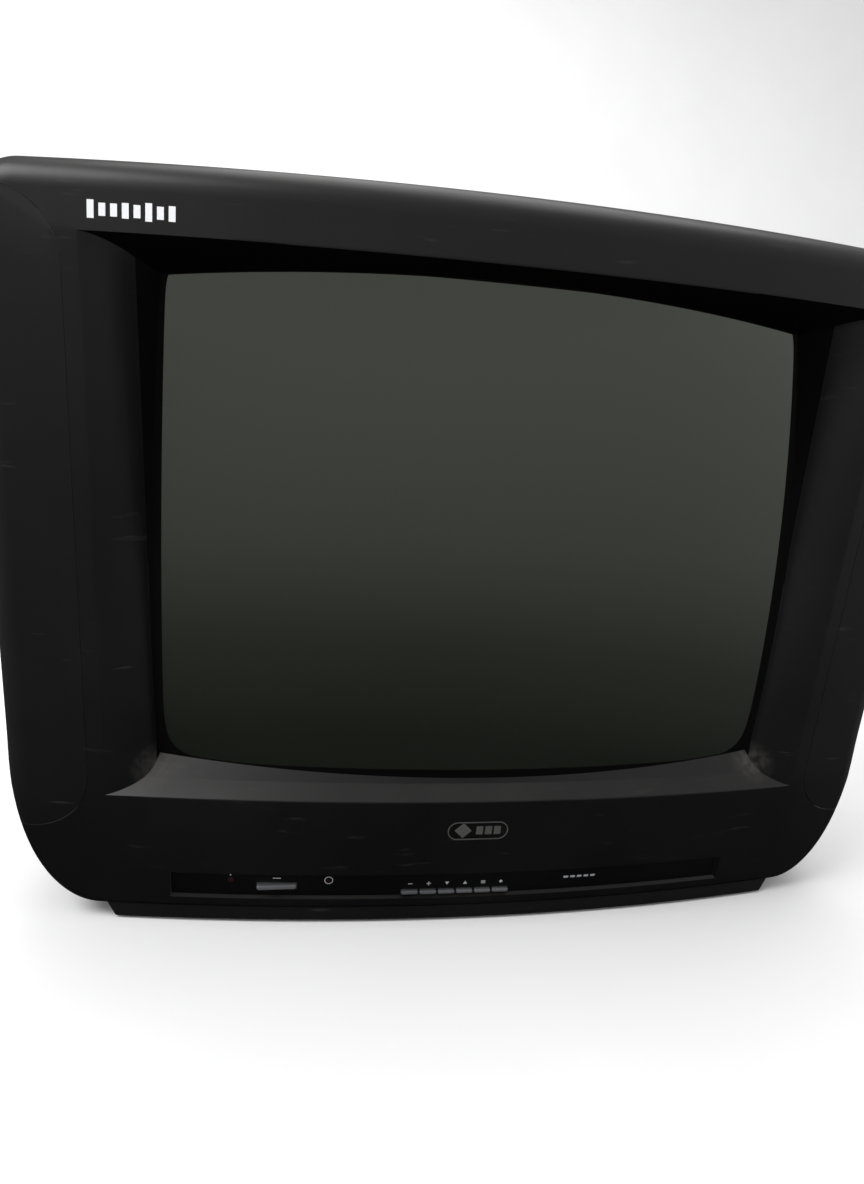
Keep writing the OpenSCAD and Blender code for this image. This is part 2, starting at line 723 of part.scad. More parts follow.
module anode_lead() color([0.6, 0.1, 0.1])
    lead(curve([[9, -2, 355], [190, 30, 410], [190, 70, 200], [120, 85, 122]], 32), 2.6, 8);

module earth_braid() color([0.7, 0.6, 0.5]) {
    s = 0.2;
    lead([for (a = [212:4:328]) let (p = funnel_point(s, a, -4)) p], 1.6, 8);
}

module chassis_frame() color([0.2, 0.2, 0.2]) {
    union() {
        difference() {
            block([-174, rim_y + 10, floor_z + 0.4], [174, 202, floor_z + 12]);
            block([-171, rim_y + 13, floor_z + 3], [171, 199, floor_z + 13]);
            for (x = [-120:60:120], y = [-60:60:150])
                translate([x, y, floor_z - 1]) cylinder(h = 6, r = 14, $fn = 48);
        }
        for (x = [-150, 0, 150], y = [-85, 30, 190])
            translate([x, y, floor_z + 2]) cylinder(h = board_z - floor_z - 2, r = 4, $fn = 32);
    }
}

module main_board() color([0.55, 0.4, 0.2])
    block([-168, rim_y + 16, board_z], [168, 200, board_z + board_t]);

module flyback_transformer() color([0.1, 0.1, 0.12]) difference() {
    z0 = board_z + board_t;
    union() {
        block([70, flyback_y - 46, z0], [146, flyback_y, z0 + 82]);
        translate([118, flyback_y - 35, z0 + 80]) cylinder(h = 8, r = 9, $fn = 48);
    }
    for (z = knob_z) rod_y(spindle_x, z, 4.06, flyback_y - 10, flyback_y + 1);
}

// A knob whose spindle turns in the flyback transformer's face.
module trimmer_knob(z) {
    difference() {
        union() {
            rod_y(spindle_x, z, 4, flyback_y - 9, flyback_y + 2);
            rod_y(spindle_x, z, 8, flyback_y + 0.4, flyback_y + 10);
        }
        block([spindle_x - 0.8, flyback_y + 7, z - 6], [spindle_x + 0.8, flyback_y + 11, z + 6]);
    }
}

module focus_knob() color([0.9, 0.9, 0.85]) trimmer_knob(knob_z[1]);

module screen_knob() color([0.9, 0.9, 0.85]) trimmer_knob(knob_z[0]);

// Mains filter, reservoir capacitor, transformer and the smaller cans on the main board.
module power_supply_parts() color([0.15, 0.2, 0.45]) {
    z0 = board_z + board_t;
    block([100, -60, z0], [140, -22, z0 + 32]);
    translate([60, -40, z0]) cylinder(h = 42, r = 15, $fn = 64);
    block([20, -80, z0], [46, -56, z0 + 24]);
    for (k = [0:6]) translate([-140 + k * 22, -60, z0]) cylinder(h = 16 + 3 * (k % 3), r = 6, $fn = 32);
    for (k = [0:4]) translate([-130 + k * 26, 20, z0]) cylinder(h = 20, r = 7, $fn = 32);
    for (k = [0:4]) block([-140 + k * 24, -20, z0], [-124 + k * 24, -6, z0 + 3.5]);
}

module heatsinks() color([0.75, 0.76, 0.78])
    for (p = [[20, 40], [-60, 90]]) translate([p.x, p.y, board_z + board_t]) union() {
        cube([3, 50, 46]);
        for (k = [0:5]) translate([2, k * 9.4, 0]) cube([14, 3, 46]);
    }

module tuner() color([0.78, 0.78, 0.8]) difference() {
    z0 = board_z + board_t;
    union() {
        block([aerial_x - 28, 148, z0], [aerial_x + 28, shelf_y - 8, z0 + 40]);
        rod_y(aerial_x, socket_row_z, 6.2, shelf_y - 9, shelf_y + 10);
    }
    rod_y(aerial_x, socket_row_z, 4.75, shelf_y + 1, shelf_y + 11);
}

module av_jacks() color([0.85, 0.8, 0.3]) difference() {
    z0 = board_z + board_t;
    union() {
        block([-76, shelf_y - 28, z0], [-16, shelf_y - 6, z0 + 38]);
        for (x = phono_x) {
            rod_y(x, socket_row_z, 4.6, shelf_y - 7, shelf_y - 2.8);
            rod_y(x, socket_row_z, 4.15, shelf_y - 3, shelf_y + 10);
        }
    }
    for (x = phono_x) rod_y(x, socket_row_z, 1.7, shelf_y + 1, shelf_y + 11);
}

// A loudspeaker's fixed or moving half, turned about an axis that points outwards.
module speaker_axis(s) {
    translate([s * (half_w - wall - 2.2 - 0.3), speaker_y, speaker_z]) rotate([0, s * 90, 0])
        rotate_extrude($fn = 96) children();
}

module speaker_frame(s) {
    r = speaker_r;
    speaker_axis(s) polygon([
        [r - 4, 0], [r, 0], [r, -2], [r - 2, -2], [17, -18], [17, -20], [16, -32],
        [4, -32], [4, -30.4], [7.6, -30.4], [7.6, -22], [7.6, -20], [14, -18.6], [r - 4, -3]
    ]);
    speaker_axis(s) polygon([[0, -31.8], [6, -31.8], [6, -20], [0, -20]]);
}

module speaker_cone(s) {
    r = speaker_r - 4.4;
    speaker_axis(s) polygon([
        [0, -8.5], [5, -9], [8, -13], [r - 4, -1.6], [r - 2, -0.6], [r, -1.6], [r, -2.2],
        [r - 4, -3.2], [7.2, -15.4], [7.2, -27], [6.4, -27], [6.4, -12], [0, -10]
    ]);
}

module speaker_left() color([0.3, 0.3, 0.32]) speaker_frame(-1);

module speaker_right() color([0.3, 0.3, 0.32]) speaker_frame(1);

module speaker_cone_left() color([0.08, 0.08, 0.08]) speaker_cone(-1);

module speaker_cone_right() color([0.08, 0.08, 0.08]) speaker_cone(1);

front_bezel();
rear_cover();
speaker_cover_left();
speaker_cover_right();
control_strip();
badge();
rubber_feet();
rear_cover_screws();
terminal_plate();
mains_cord_gland();
power_button();
volume_down_button();
volume_up_button();
programme_down_button();
programme_up_button();
menu_button();
av_button();
front_control_board();
tact_switches();
standby_led();
ir_window();
ir_receiver();
power_switch();
crt_faceplate();
crt_funnel();
crt_neck();
implosion_band();
shadow_mask();
electron_gun();
degaussing_coil();
tube_mounting_screws();
yoke_housing();
yoke_coils();
yoke_core();
yoke_clamp();
magnet_carrier();
purity_ring_front();
purity_ring_rear();
four_pole_ring_front();
four_pole_ring_rear();
six_pole_ring_front();
six_pole_ring_rear();
neck_board();
crt_socket();
anode_cap();
anode_lead();
earth_braid();
chassis_frame();
main_board();
flyback_transformer();
focus_knob();
screen_knob();
power_supply_parts();
heatsinks();
tuner();
av_jacks();
speaker_left();
speaker_right();
speaker_cone_left();
speaker_cone_right();
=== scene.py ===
import json
import math

import bmesh
import bpy
from mathutils import Matrix, Vector


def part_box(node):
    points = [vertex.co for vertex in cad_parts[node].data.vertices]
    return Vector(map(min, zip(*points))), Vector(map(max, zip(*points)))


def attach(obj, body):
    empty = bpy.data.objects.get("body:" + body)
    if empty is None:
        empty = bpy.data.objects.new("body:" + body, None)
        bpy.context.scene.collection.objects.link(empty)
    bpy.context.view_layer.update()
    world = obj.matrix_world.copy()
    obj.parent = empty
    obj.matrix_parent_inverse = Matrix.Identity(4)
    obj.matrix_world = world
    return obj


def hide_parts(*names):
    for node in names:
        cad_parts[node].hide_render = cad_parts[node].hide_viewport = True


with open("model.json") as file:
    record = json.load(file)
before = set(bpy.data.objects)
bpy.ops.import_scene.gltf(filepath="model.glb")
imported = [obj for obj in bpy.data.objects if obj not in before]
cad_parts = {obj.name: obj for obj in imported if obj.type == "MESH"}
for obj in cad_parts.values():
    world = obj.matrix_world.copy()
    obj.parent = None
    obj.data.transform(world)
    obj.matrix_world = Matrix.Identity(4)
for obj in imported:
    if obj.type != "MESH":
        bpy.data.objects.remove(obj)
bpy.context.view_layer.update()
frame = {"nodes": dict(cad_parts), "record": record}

MM = 0.001
nodes = frame["nodes"]


def box_mm(node):
    """A CAD node's lowest and highest corners, in millimetres."""
    low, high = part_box(node)
    return low / MM, high / MM


# ---------------------------------------------------------------- driving sizes, in mm
bezel_low, bezel_high = box_mm("front_bezel")
glass_low, glass_high = box_mm("crt_faceplate")
HALF_W = bezel_high.x
TOP_Z = bezel_high.z
FRONT_Y = bezel_low.y
RIM_Y = bezel_high.y
PLINTH_Z = bezel_low.z
BASE_Z = 10.5                    # the cabinet's bottom edge, above the plinth's
WALL = 3.0                       # the depth of the side covers
SKIN = 4.4                       # the moulding's wall with its skin behind the side covers
BOW_R = 1500.0                   # the front's bow in plan
BOW_Y = FRONT_Y + BOW_R
LIP_Z = 94.0                     # the front edge of the ledge under the glass
LIP_Y = FRONT_Y + 40
BASE_Y = LIP_Y + 16
SOFFIT_Z = 415.0                 # the brow's lower edge
CORNER_X = HALF_W - 54           # where the large lower corners start
CORNER_Z = 118.0
TOP_CORNER_R = 30.0
CROWN = 2.0                      # how much the top falls from its middle to its ends
EDGE_R = (4.0, 18.0)             # the front's outer edge, at the bottom and round the brow
TUBE_Z = (glass_low.z + glass_high.z) / 2
FACE_Y = glass_low.y
FACE_R = 850.0
PANEL_A = glass_high.x
PANEL_B = (glass_high.z - glass_low.z) / 2
SEAM_Y = glass_high.y
TIP_TOP = (237.0, SOFFIT_Z)      # the pointed ends of the screen opening
TIP_LOW = (235.5, LIP_Z)
GLASS_X = 205.0                  # the visible glass: its corners
GLASS_LOW = 116.0
GLASS_TOP = 409.0
GLASS_BULGE_LOW = 106.5          # and its lower and upper edges on the centre line
GLASS_BULGE_TOP = 418.5
GLASS_GAP = 0.6                  # between the moulding and the glass
EDGE_LOW_X, EDGE_TOP_X = 206.8, 215.0     # the opening's crisp edge, low and high
EDGE_LOW_Y, EDGE_TOP_Y = LIP_Y + 31, FRONT_Y + 50
CHAMFER = 9.0                    # the depth of the ledge's front slope
SIDE_COVER_X = 246.0             # the side covers' outline seen from the front
SIDE_COVER_Z = (69.0, 436.0)
SIDE_COVER_R = 38.0
GROOVE_X = (-198, 190)           # the control groove
GROOVE_Z = (19, 38)
GROOVE_DEPTH = 6.0
STRIP_DEPTH = 3.5                # the insert's face in it
BADGE = (1.0, 72.0)              # the badge's centre


def lerp(a, b, t):
    return a + (b - a) * t


def smooth(t):
    t = min(max(t, 0.0), 1.0)
    return t * t * (3 - 2 * t)


def centre_y(z):
    """The front's y on the centre line, at a height."""
    if z < LIP_Z:
        return LIP_Y + (LIP_Z - z) * (BASE_Y - LIP_Y) / (LIP_Z - BASE_Z)
    return LIP_Y - (min(z, SOFFIT_Z) - LIP_Z) * (LIP_Y - FRONT_Y) / (SOFFIT_Z - LIP_Z)


def surface_y(x, z):
    """The front surface's y."""
    return BOW_Y - math.sqrt((BOW_Y - centre_y(z)) ** 2 - x * x)


def glass_y(x, z):
    """The y of the glass's spherical face."""
    return FACE_Y + FACE_R - math.sqrt(FACE_R ** 2 - x * x - (z - TUBE_Z) ** 2)


# ---------------------------------------------------------------- mesh helpers
def loft(rings, joined=False, capped=False):
    """Vertices and faces of rings of points, joined end to end into a loop, or capped."""
    n = len(rings[0])
    verts = [p for ring in rings for p in ring]
    faces = []
    pairs = len(rings) if joined else len(rings) - 1
    for k in range(pairs):
        a, b = k * n, ((k + 1) % len(rings)) * n
        faces += [(a + j, a + (j + 1) % n, b + (j + 1) % n, b + j) for j in range(n)]
    if capped:
        for k, flip in ((0, True), (len(rings) - 1, False)):
            middle = sum((Vector(p) for p in rings[k]), Vector()) / n
            verts.append(tuple(middle))
            for j in range(n):
                face = (k * n + j, k * n + (j + 1) % n, len(verts) - 1)
                faces.append(face[::-1] if flip else face)
    return verts, faces


def make_object(name, verts, faces):
    mesh = bpy.data.meshes.new(name)
    mesh.from_pydata([Vector(v) * MM for v in verts], [], faces)
    obj = bpy.data.objects.new(name, mesh)
    bpy.context.scene.collection.objects.link(obj)
    bm = bmesh.new()
    bm.from_mesh(mesh)
    bmesh.ops.remove_doubles(bm, verts=bm.verts, dist=1e-6)
    bmesh.ops.recalc_face_normals(bm, faces=bm.faces)
    bm.to_mesh(mesh)
    bm.free()
    return obj


def shade(obj, angle=35.0, weighted=True):
    """Smooth shading, with edges sharper than the angle kept sharp."""
    bm = bmesh.new()
    bm.from_mesh(obj.data)
    limit = math.radians(angle)
    for face in bm.faces:
        face.smooth = True
    for edge in bm.edges:
        edge.smooth = len(edge.link_faces) == 2 and edge.calc_face_angle(0.0) < limit
    bm.to_mesh(obj.data)
    bm.free()
    if weighted:
        normals = obj.modifiers.new("normals", "WEIGHTED_NORMAL")
        normals.keep_sharp = True
    return obj


def apply_modifiers(obj):
    bpy.context.view_layer.update()
    graph = bpy.context.evaluated_depsgraph_get()
    mesh = bpy.data.meshes.new_from_object(obj.evaluated_get(graph))
    obj.modifiers.clear()
    old = obj.data
    obj.data = mesh
    bpy.data.meshes.remove(old)


def combine(obj, other, operation):
    """Boolean of two closed meshes; the other one is deleted."""
    modifier = obj.modifiers.new("cut", "BOOLEAN")
    modifier.operation = operation
    modifier.solver = "EXACT"
    modifier.object = other
    apply_modifiers(obj)
    bpy.data.objects.remove(other)
    return obj


def soften(obj, width):
    """Rounds the object's sharp edges."""
    bevel = obj.modifiers.new("bevel", "BEVEL")
    bevel.width = width * MM
    bevel.segments = 2
    bevel.limit_method = "ANGLE"
    bevel.angle_limit = math.radians(40)
    bevel.harden_normals = False
    apply_modifiers(obj)
    return obj


def box_object(name, low, high):
    (x0, y0, z0), (x1, y1, z1) = low, high
    verts = [(x, y, z) for z in (z0, z1) for y in (y0, y1) for x in (x0, x1)]
    faces = [(0, 2, 3, 1), (4, 5, 7, 6), (0, 1, 5, 4), (2, 6, 7, 3), (0, 4, 6, 2), (1, 3, 7, 5)]
    return make_object(name, verts, faces)


def rounded_rect(a, b, r, corner, middle=(0.0, 0.0), straight=1):
    """Points [x, z] round a rectangle of half sizes a and b, its straights cut into steps."""
    turns = []
    for k, (sx, sz) in enumerate(((1, -1), (1, 1), (-1, 1), (-1, -1))):
        turn = []
        for j in range(corner + 1):
            angle = math.radians(-90 + 90 * k + 90 * j / corner)
            turn.append((
                middle[0] + sx * (a - r) + r * math.cos(angle),
                middle[1] + sz * (b - r) + r * math.sin(angle),
            ))
        turns.append(turn)
    points = []
    for turn, following in zip(turns, turns[1:] + turns[:1]):
        points += turn
        start, end = turn[-1], following[0]
        points += [
            (lerp(start[0], end[0], k / straight), lerp(start[1], end[1], k / straight))
            for k in range(1, straight)
        ]
    return points


def tidy_piece(obj, material, body="cabinet", replaces=()):
    """Gives a piece its material and body, and hides the nodes it stands for."""
    obj.data.materials.clear()
    obj.data.materials.append(material)
    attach(obj, body)
    if replaces:
        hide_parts(*replaces)
    return obj


# ---------------------------------------------------------------- materials
def new_material(name):
    material = bpy.data.materials.new(name)
    material.use_nodes = True
    tree = material.node_tree
    shader = tree.nodes["Principled BSDF"]
    return material, tree, shader


def coordinates(tree, scale=1.0):
    texture = tree.nodes.new("ShaderNodeTexCoord")
    mapping = tree.nodes.new("ShaderNodeMapping")
    if isinstance(scale, (int, float)):
        scale = (scale, scale, scale)
    mapping.inputs["Scale"].default_value = scale
    tree.links.new(texture.outputs["Object"], mapping.inputs["Vector"])
    return mapping.outputs["Vector"]


def noise(tree, scale, detail, vector=None):
    node = tree.nodes.new("ShaderNodeTexNoise")
    node.inputs["Scale"].default_value = scale
    node.inputs["Detail"].default_value = detail
    tree.links.new(vector or coordinates(tree), node.inputs["Vector"])
    return node.outputs["Fac"]


def ramp(tree, source, stops):
    """Colours at positions from 0 to 1, read by a source."""
    node = tree.nodes.new("ShaderNodeValToRGB")
    elements = node.color_ramp.elements
    while len(elements) < len(stops):
        elements.new(0.5)
    for element, (place, colour) in zip(elements, stops):
        element.position = place
        element.color = (*colour, 1.0)
    tree.links.new(source, node.inputs["Fac"])
    return node.outputs["Color"]


def math_node(tree, operation, a, b, clamp=False):
    node = tree.nodes.new("ShaderNodeMath")
    node.operation = operation
    node.use_clamp = clamp
    tree.links.new(a, node.inputs[0])
    tree.links.new(b, node.inputs[1])
    return node.outputs["Value"]


def fade(tree, source, start, end, low=0.0, high=1.0):
    """From low where the source is at start, to high where it is at end."""
    node = tree.nodes.new("ShaderNodeMapRange")
    node.inputs["From Min"].default_value = start
    node.inputs["From Max"].default_value = end
    node.inputs["To Min"].default_value = low
    node.inputs["To Max"].default_value = high
    tree.links.new(source, node.inputs["Value"])
    return node.outputs["Result"]


def parts(tree, vector):
    node = tree.nodes.new("ShaderNodeSeparateXYZ")
    tree.links.new(vector, node.inputs["Vector"])
    return node.outputs


def grey(value):
    return (value, value, value)


def scaled(colour, k):
    return tuple(min(c * k, 1.0) for c in colour)


def bump(tree, shader, height, strength, distance):
    node = tree.nodes.new("ShaderNodeBump")
    node.inputs["Strength"].default_value = strength
    node.inputs["Distance"].default_value = distance
    tree.links.new(height, node.inputs["Height"])
    tree.links.new(node.outputs["Normal"], shader.inputs["Normal"])


def plastic(name, colour, rough, grain=2600.0, depth=0.00004, spread=0.12, vary=0.25):
    """Moulded plastic: spark-eroded grain, faint cloudiness and uneven gloss."""
    material, tree, shader = new_material(name)
    cloud = noise(tree, 9.0, 4.0)
    tint = ramp(tree, cloud, ((0.3, scaled(colour, 1 - vary)), (0.75, scaled(colour, 1 + vary))))
    tree.links.new(tint, shader.inputs["Base Color"])
    smear = noise(tree, 23.0, 6.0)
    gloss = ramp(tree, smear, ((0.25, grey(rough - spread / 2)), (0.8, grey(rough + spread / 2))))
    tree.links.new(gloss, shader.inputs["Roughness"])
    bump(tree, shader, noise(tree, grain, 2.0), 0.35, depth)
    return material


def painted_shade_material(name):
    """Painted shade: a dull black, grained and without gloss, that stands in for the shade on the walls
    round the glass.
    """
    material, tree, shader = new_material(name)
    tint = ramp(tree, noise(tree, 9.0, 4.0), ((0.3, grey(0.0008)), (0.75, grey(0.0016))))
    tree.links.new(tint, shader.inputs["Base Color"])
    shader.inputs["Roughness"].default_value = 0.8
    shader.inputs["Specular IOR Level"].default_value = 0.06
    bump(tree, shader, noise(tree, 900.0, 2.0), 0.35, 0.00004)
    return material


DUST_CORNER = (0.207, -0.169, 0.108)


def corner_dust(tree, settled_dust_and_light):
    """More dust where the ledge meets the pillars, in the opening's lower corners."""
    place = parts(tree, coordinates(tree))
    mirrored = tree.nodes.new("ShaderNodeMath")
    mirrored.operation = "ABSOLUTE"
    tree.links.new(place["X"], mirrored.inputs[0])
    joined = tree.nodes.new("ShaderNodeCombineXYZ")
    tree.links.new(mirrored.outputs["Value"], joined.inputs["X"])
    tree.links.new(place["Y"], joined.inputs["Y"])
    tree.links.new(place["Z"], joined.inputs["Z"])
    reach = tree.nodes.new("ShaderNodeVectorMath")
    reach.operation = "DISTANCE"
    reach.inputs[1].default_value = DUST_CORNER
    tree.links.new(joined.outputs["Vector"], reach.inputs[0])
    near = fade(tree, reach.outputs["Value"], 0.018, 0.004, 0.0, 0.12)
    clumps = ramp(tree, noise(tree, 220.0, 6.0), ((0.35, grey(0.1)), (0.65, grey(1.0))))
    return math_node(tree, "ADD", math_node(tree, "MULTIPLY", near, clumps), settled_dust_and_light)


def dusty_and_top_lit(name, colour, rough, grain, depth, amount):
    """Cabinet plastic that has stood in a room: where it faces up, a pale tint that is partly dust and
    partly painted light from above, and faint rubs elsewhere.
    """
    material = plastic(name, colour, rough, grain, depth)
    tree = material.node_tree
    shader = tree.nodes["Principled BSDF"]
    shader.inputs["Specular IOR Level"].default_value = 0.24
    clean = shader.inputs["Base Color"].links[0].from_socket
    gloss = shader.inputs["Roughness"].links[0].from_socket
    surface = tree.nodes.new("ShaderNodeNewGeometry")
    # painted light as well as dust: faces turned up are mixed paler, as the light from above makes them
    # look
    upward_dust_and_light = fade(tree, parts(tree, surface.outputs["Normal"])["Z"], 0.15, 0.95, 0.0, amount)
    patches = ramp(tree, noise(tree, 17.0, 7.0), ((0.3, grey(0.35)), (0.75, grey(1.0))))
    settled_dust_and_light = math_node(tree, "MULTIPLY", upward_dust_and_light, patches)
    if name == "cabinet_plastic":
        settled_dust_and_light = corner_dust(tree, settled_dust_and_light)
    rubs = noise(tree, 30.0, 8.0, coordinates(tree, (1.0, 1.0, 9.0)))
    rub_mask = ramp(tree, rubs, ((0.66, grey(0.0)), (0.76, grey(0.035))))
    total = math_node(tree, "ADD", settled_dust_and_light, rub_mask, clamp=True)
    mix = tree.nodes.new("ShaderNodeMix")
    mix.data_type = "RGBA"
    tree.links.new(total, mix.inputs["Factor"])
    tree.links.new(clean, mix.inputs["A"])
    mix.inputs["B"].default_value = (0.34, 0.31, 0.27, 1)
    tree.links.new(mix.outputs["Result"], shader.inputs["Base Color"])
    tree.links.new(math_node(tree, "ADD", gloss, total, clamp=True), shader.inputs["Roughness"])
    return material


def metal(name, colour, rough, brushed=(1.0, 1.0, 1.0)):
    """Metal with stains and fine brushing along one axis."""
    material, tree, shader = new_material(name)
    shader.inputs["Metallic"].default_value = 1.0
    stain = noise(tree, 40.0, 5.0)
    tint = ramp(tree, stain, ((0.2, scaled(colour, 0.82)), (0.8, colour)))
    tree.links.new(tint, shader.inputs["Base Color"])
    streak = noise(tree, 900.0, 3.0, coordinates(tree, brushed))
    gloss = ramp(tree, streak, ((0.2, grey(rough * 0.7)), (0.8, grey(min(rough * 1.35, 1)))))
    tree.links.new(gloss, shader.inputs["Roughness"])
    bump(tree, shader, streak, 0.25, 0.00001)
    return material


def printed_board(name, mask, copper):
    """A circuit board: solder mask over a pattern of tracks and pads."""
    material, tree, shader = new_material(name)
    tracks = tree.nodes.new("ShaderNodeTexBrick")
    tracks.inputs["Scale"].default_value = 120.0
    tracks.inputs["Color1"].default_value = (*mask, 1)
    tracks.inputs["Color2"].default_value = (*scaled(mask, 1.5), 1)
    tracks.inputs["Mortar"].default_value = (*scaled(copper, 0.6), 1)
    tracks.inputs["Mortar Size"].default_value = 0.03
    tree.links.new(coordinates(tree), tracks.inputs["Vector"])
    tree.links.new(tracks.outputs["Color"], shader.inputs["Base Color"])
    shader.inputs["Roughness"].default_value = 0.35
    bump(tree, shader, tracks.outputs["Fac"], 0.3, 0.00005)
    return material


def windings(name, colour, turns, rough=0.3):
    """Enamelled wire laid side by side."""
    material, tree, shader = new_material(name)
    wave = tree.nodes.new("ShaderNodeTexWave")
    wave.wave_type = "RINGS"
    wave.rings_direction = "Y"
    wave.inputs["Scale"].default_value = turns
    wave.inputs["Distortion"].default_value = 1.5
    tree.links.new(coordinates(tree), wave.inputs["Vector"])
    tint = ramp(tree, wave.outputs["Fac"], ((0.1, scaled(colour, 0.35)), (0.7, colour)))
    tree.links.new(tint, shader.inputs["Base Color"])
    shader.inputs["Metallic"].default_value = 0.6
    shader.inputs["Roughness"].default_value = rough
    bump(tree, shader, wave.outputs["Fac"], 0.6, 0.0003)
    return material


def screen_glass():
    """Tinted faceplate glass over the phosphor: dark grey-green, with a polished face."""
    material, tree, shader = new_material("screen_glass")
    haze = noise(tree, 3.0, 2.0)
    tint = ramp(tree, haze, ((0.3, (0.0085, 0.0098, 0.0075)), (0.8, (0.0105, 0.012, 0.0095))))
    tree.links.new(tint, shader.inputs["Base Color"])
    shader.inputs["IOR"].default_value = 1.68
    shader.inputs["Specular Tint"].default_value = (0.93, 1.0, 0.84, 1)
    wipe = noise(tree, 14.0, 5.0, coordinates(tree, (1.0, 1.0, 0.35)))
    gloss = ramp(tree, wipe, ((0.35, grey(0.05)), (0.8, grey(0.13))))
    tree.links.new(gloss, shader.inputs["Roughness"])
    return material


def clear_glass(name, colour):
    """Glass that is seen through, under a faint film."""
    material, tree, shader = new_material(name)
    shader.inputs["Transmission Weight"].default_value = 1.0
    shader.inputs["IOR"].default_value = 1.5
    film = noise(tree, 60.0, 4.0)
    gloss = ramp(tree, film, ((0.3, grey(0.05)), (0.8, grey(0.13))))
    tree.links.new(gloss, shader.inputs["Roughness"])
    tint = ramp(tree, film, ((0.0, colour), (1.0, scaled(colour, 0.92))))
    tree.links.new(tint, shader.inputs["Base Color"])
    return material


MATERIALS = {
    "cabinet_plastic": dusty_and_top_lit("cabinet_plastic", (0.0044, 0.0043, 0.0046), 0.38, 2600.0, 0.00004, 0.035),
    "cover_plastic": dusty_and_top_lit("cover_plastic", (0.0044, 0.0042, 0.0044), 0.47, 1900.0, 0.00006, 0.035),
    "rear_plastic": dusty_and_top_lit("rear_plastic", (0.0075, 0.0075, 0.0078), 0.55, 1100.0, 0.00012, 0.05),
    "gloss_strip": plastic("gloss_strip", (0.003, 0.003, 0.0032), 0.3, 500.0, 0.000004, 0.05),
    "key_plastic": plastic("key_plastic", (0.075, 0.077, 0.082), 0.32),
    # painted shade: a dull black for the opening's shaded walls and ceiling and the glass's edge
    "painted_shade_black": painted_shade_material("painted_shade_black"),
    "print_white": plastic("print_white", (0.75, 0.76, 0.78), 0.45, 900.0, 0.00001, 0.1, 0.04),
    "print_grey": plastic("print_grey", (0.3, 0.31, 0.33), 0.5, 900.0, 0.00001),
    "silver_trim": metal("silver_trim", (0.8, 0.79, 0.75), 0.42, (1, 1, 30)),
    "foot_rubber": plastic("foot_rubber", (0.012, 0.012, 0.012), 0.8, 700.0, 0.0001),
    "screw_steel": metal("screw_steel", (0.55, 0.55, 0.54), 0.35),
    "black_plastic": plastic("black_plastic", (0.012, 0.012, 0.012), 0.45),
    "board_green": printed_board("board_green", (0.01, 0.07, 0.025), (0.3, 0.25, 0.1)),
    "board_brown": printed_board("board_brown", (0.16, 0.09, 0.035), (0.4, 0.3, 0.15)),
    "led_red": plastic("led_red", (0.018, 0.0015, 0.0015), 0.12, 300.0, 0.000004, 0.04),
    "ir_plastic": plastic("ir_plastic", (0.008, 0.0015, 0.002), 0.08, 300.0, 0.000004, 0.04),
    "screen_glass": screen_glass(),
    "funnel_glass": plastic("funnel_glass", (0.02, 0.02, 0.021), 0.6, 400.0, 0.0001, 0.2, 0.5),
    "neck_glass": clear_glass("neck_glass", (0.85, 0.9, 0.88)),
    "band_steel": metal("band_steel", (0.45, 0.45, 0.46), 0.4, (1, 30, 1)),
    "mask_steel": metal("mask_steel", (0.1, 0.1, 0.105), 0.55),
    "gun_steel": metal("gun_steel", (0.62, 0.62, 0.63), 0.22),
    "coil_tape": plastic("coil_tape", (0.012, 0.012, 0.012), 0.5, 160.0, 0.0004),
    "yoke_plastic": plastic("yoke_plastic", (0.6, 0.58, 0.5), 0.4, 900.0),
    "copper_wire": windings("copper_wire", (0.55, 0.2, 0.06), 420.0),
    "ferrite": plastic("ferrite", (0.03, 0.03, 0.031), 0.7, 500.0, 0.0002),
    "ring_ivory": plastic("ring_ivory", (0.62, 0.56, 0.42), 0.4),
    "ring_blue": plastic("ring_blue", (0.06, 0.15, 0.35), 0.4),
    "ring_red": plastic("ring_red", (0.35, 0.04, 0.035), 0.4),
    "socket_plastic": plastic("socket_plastic", (0.68, 0.65, 0.57), 0.4),
    "cap_rubber": plastic("cap_rubber", (0.045, 0.012, 0.01), 0.65, 500.0),
    "lead_silicone": plastic("lead_silicone", (0.3, 0.02, 0.02), 0.45, 800.0),
    "braid_copper": windings("braid_copper", (0.5, 0.33, 0.2), 900.0, 0.4),
    "chassis_plastic": plastic("chassis_plastic", (0.03, 0.03, 0.03), 0.55, 1100.0),
    "flyback_resin": plastic("flyback_resin", (0.01, 0.01, 0.012), 0.25, 200.0, 0.00005),
    "knob_plastic": plastic("knob_plastic", (0.68, 0.66, 0.58), 0.35),
    "capacitor_sleeve": plastic("capacitor_sleeve", (0.015, 0.03, 0.13), 0.25, 120.0, 0.00003),
    "heatsink_aluminium": metal("heatsink_aluminium", (0.7, 0.71, 0.72), 0.35, (1, 1, 0.05)),
    "tuner_can": metal("tuner_can", (0.66, 0.67, 0.68), 0.3),
    "jack_nickel": metal("jack_nickel", (0.72, 0.68, 0.52), 0.18),
    "speaker_steel": metal("speaker_steel", (0.3, 0.3, 0.31), 0.4),
    "speaker_paper": plastic("speaker_paper", (0.02, 0.02, 0.02), 0.85, 700.0, 0.0003),
}
SLOT_OF = {entry["node"]: entry["material_slot"] for entry in frame["record"]["subparts"]}


def finish_cad_nodes():
    """Every CAD node gets its slot's material, and glossy rays pass it by."""
    for name, obj in nodes.items():
        obj.data.materials.clear()
        obj.data.materials.append(MATERIALS[SLOT_OF[name]])
        obj.visible_glossy = False       # the glass mirrors the room alone


# ---------------------------------------------------------------- the cabinet's outline
CORNER_STEPS = 10
EDGE_STEPS = 56
SIDE_STEPS = 44


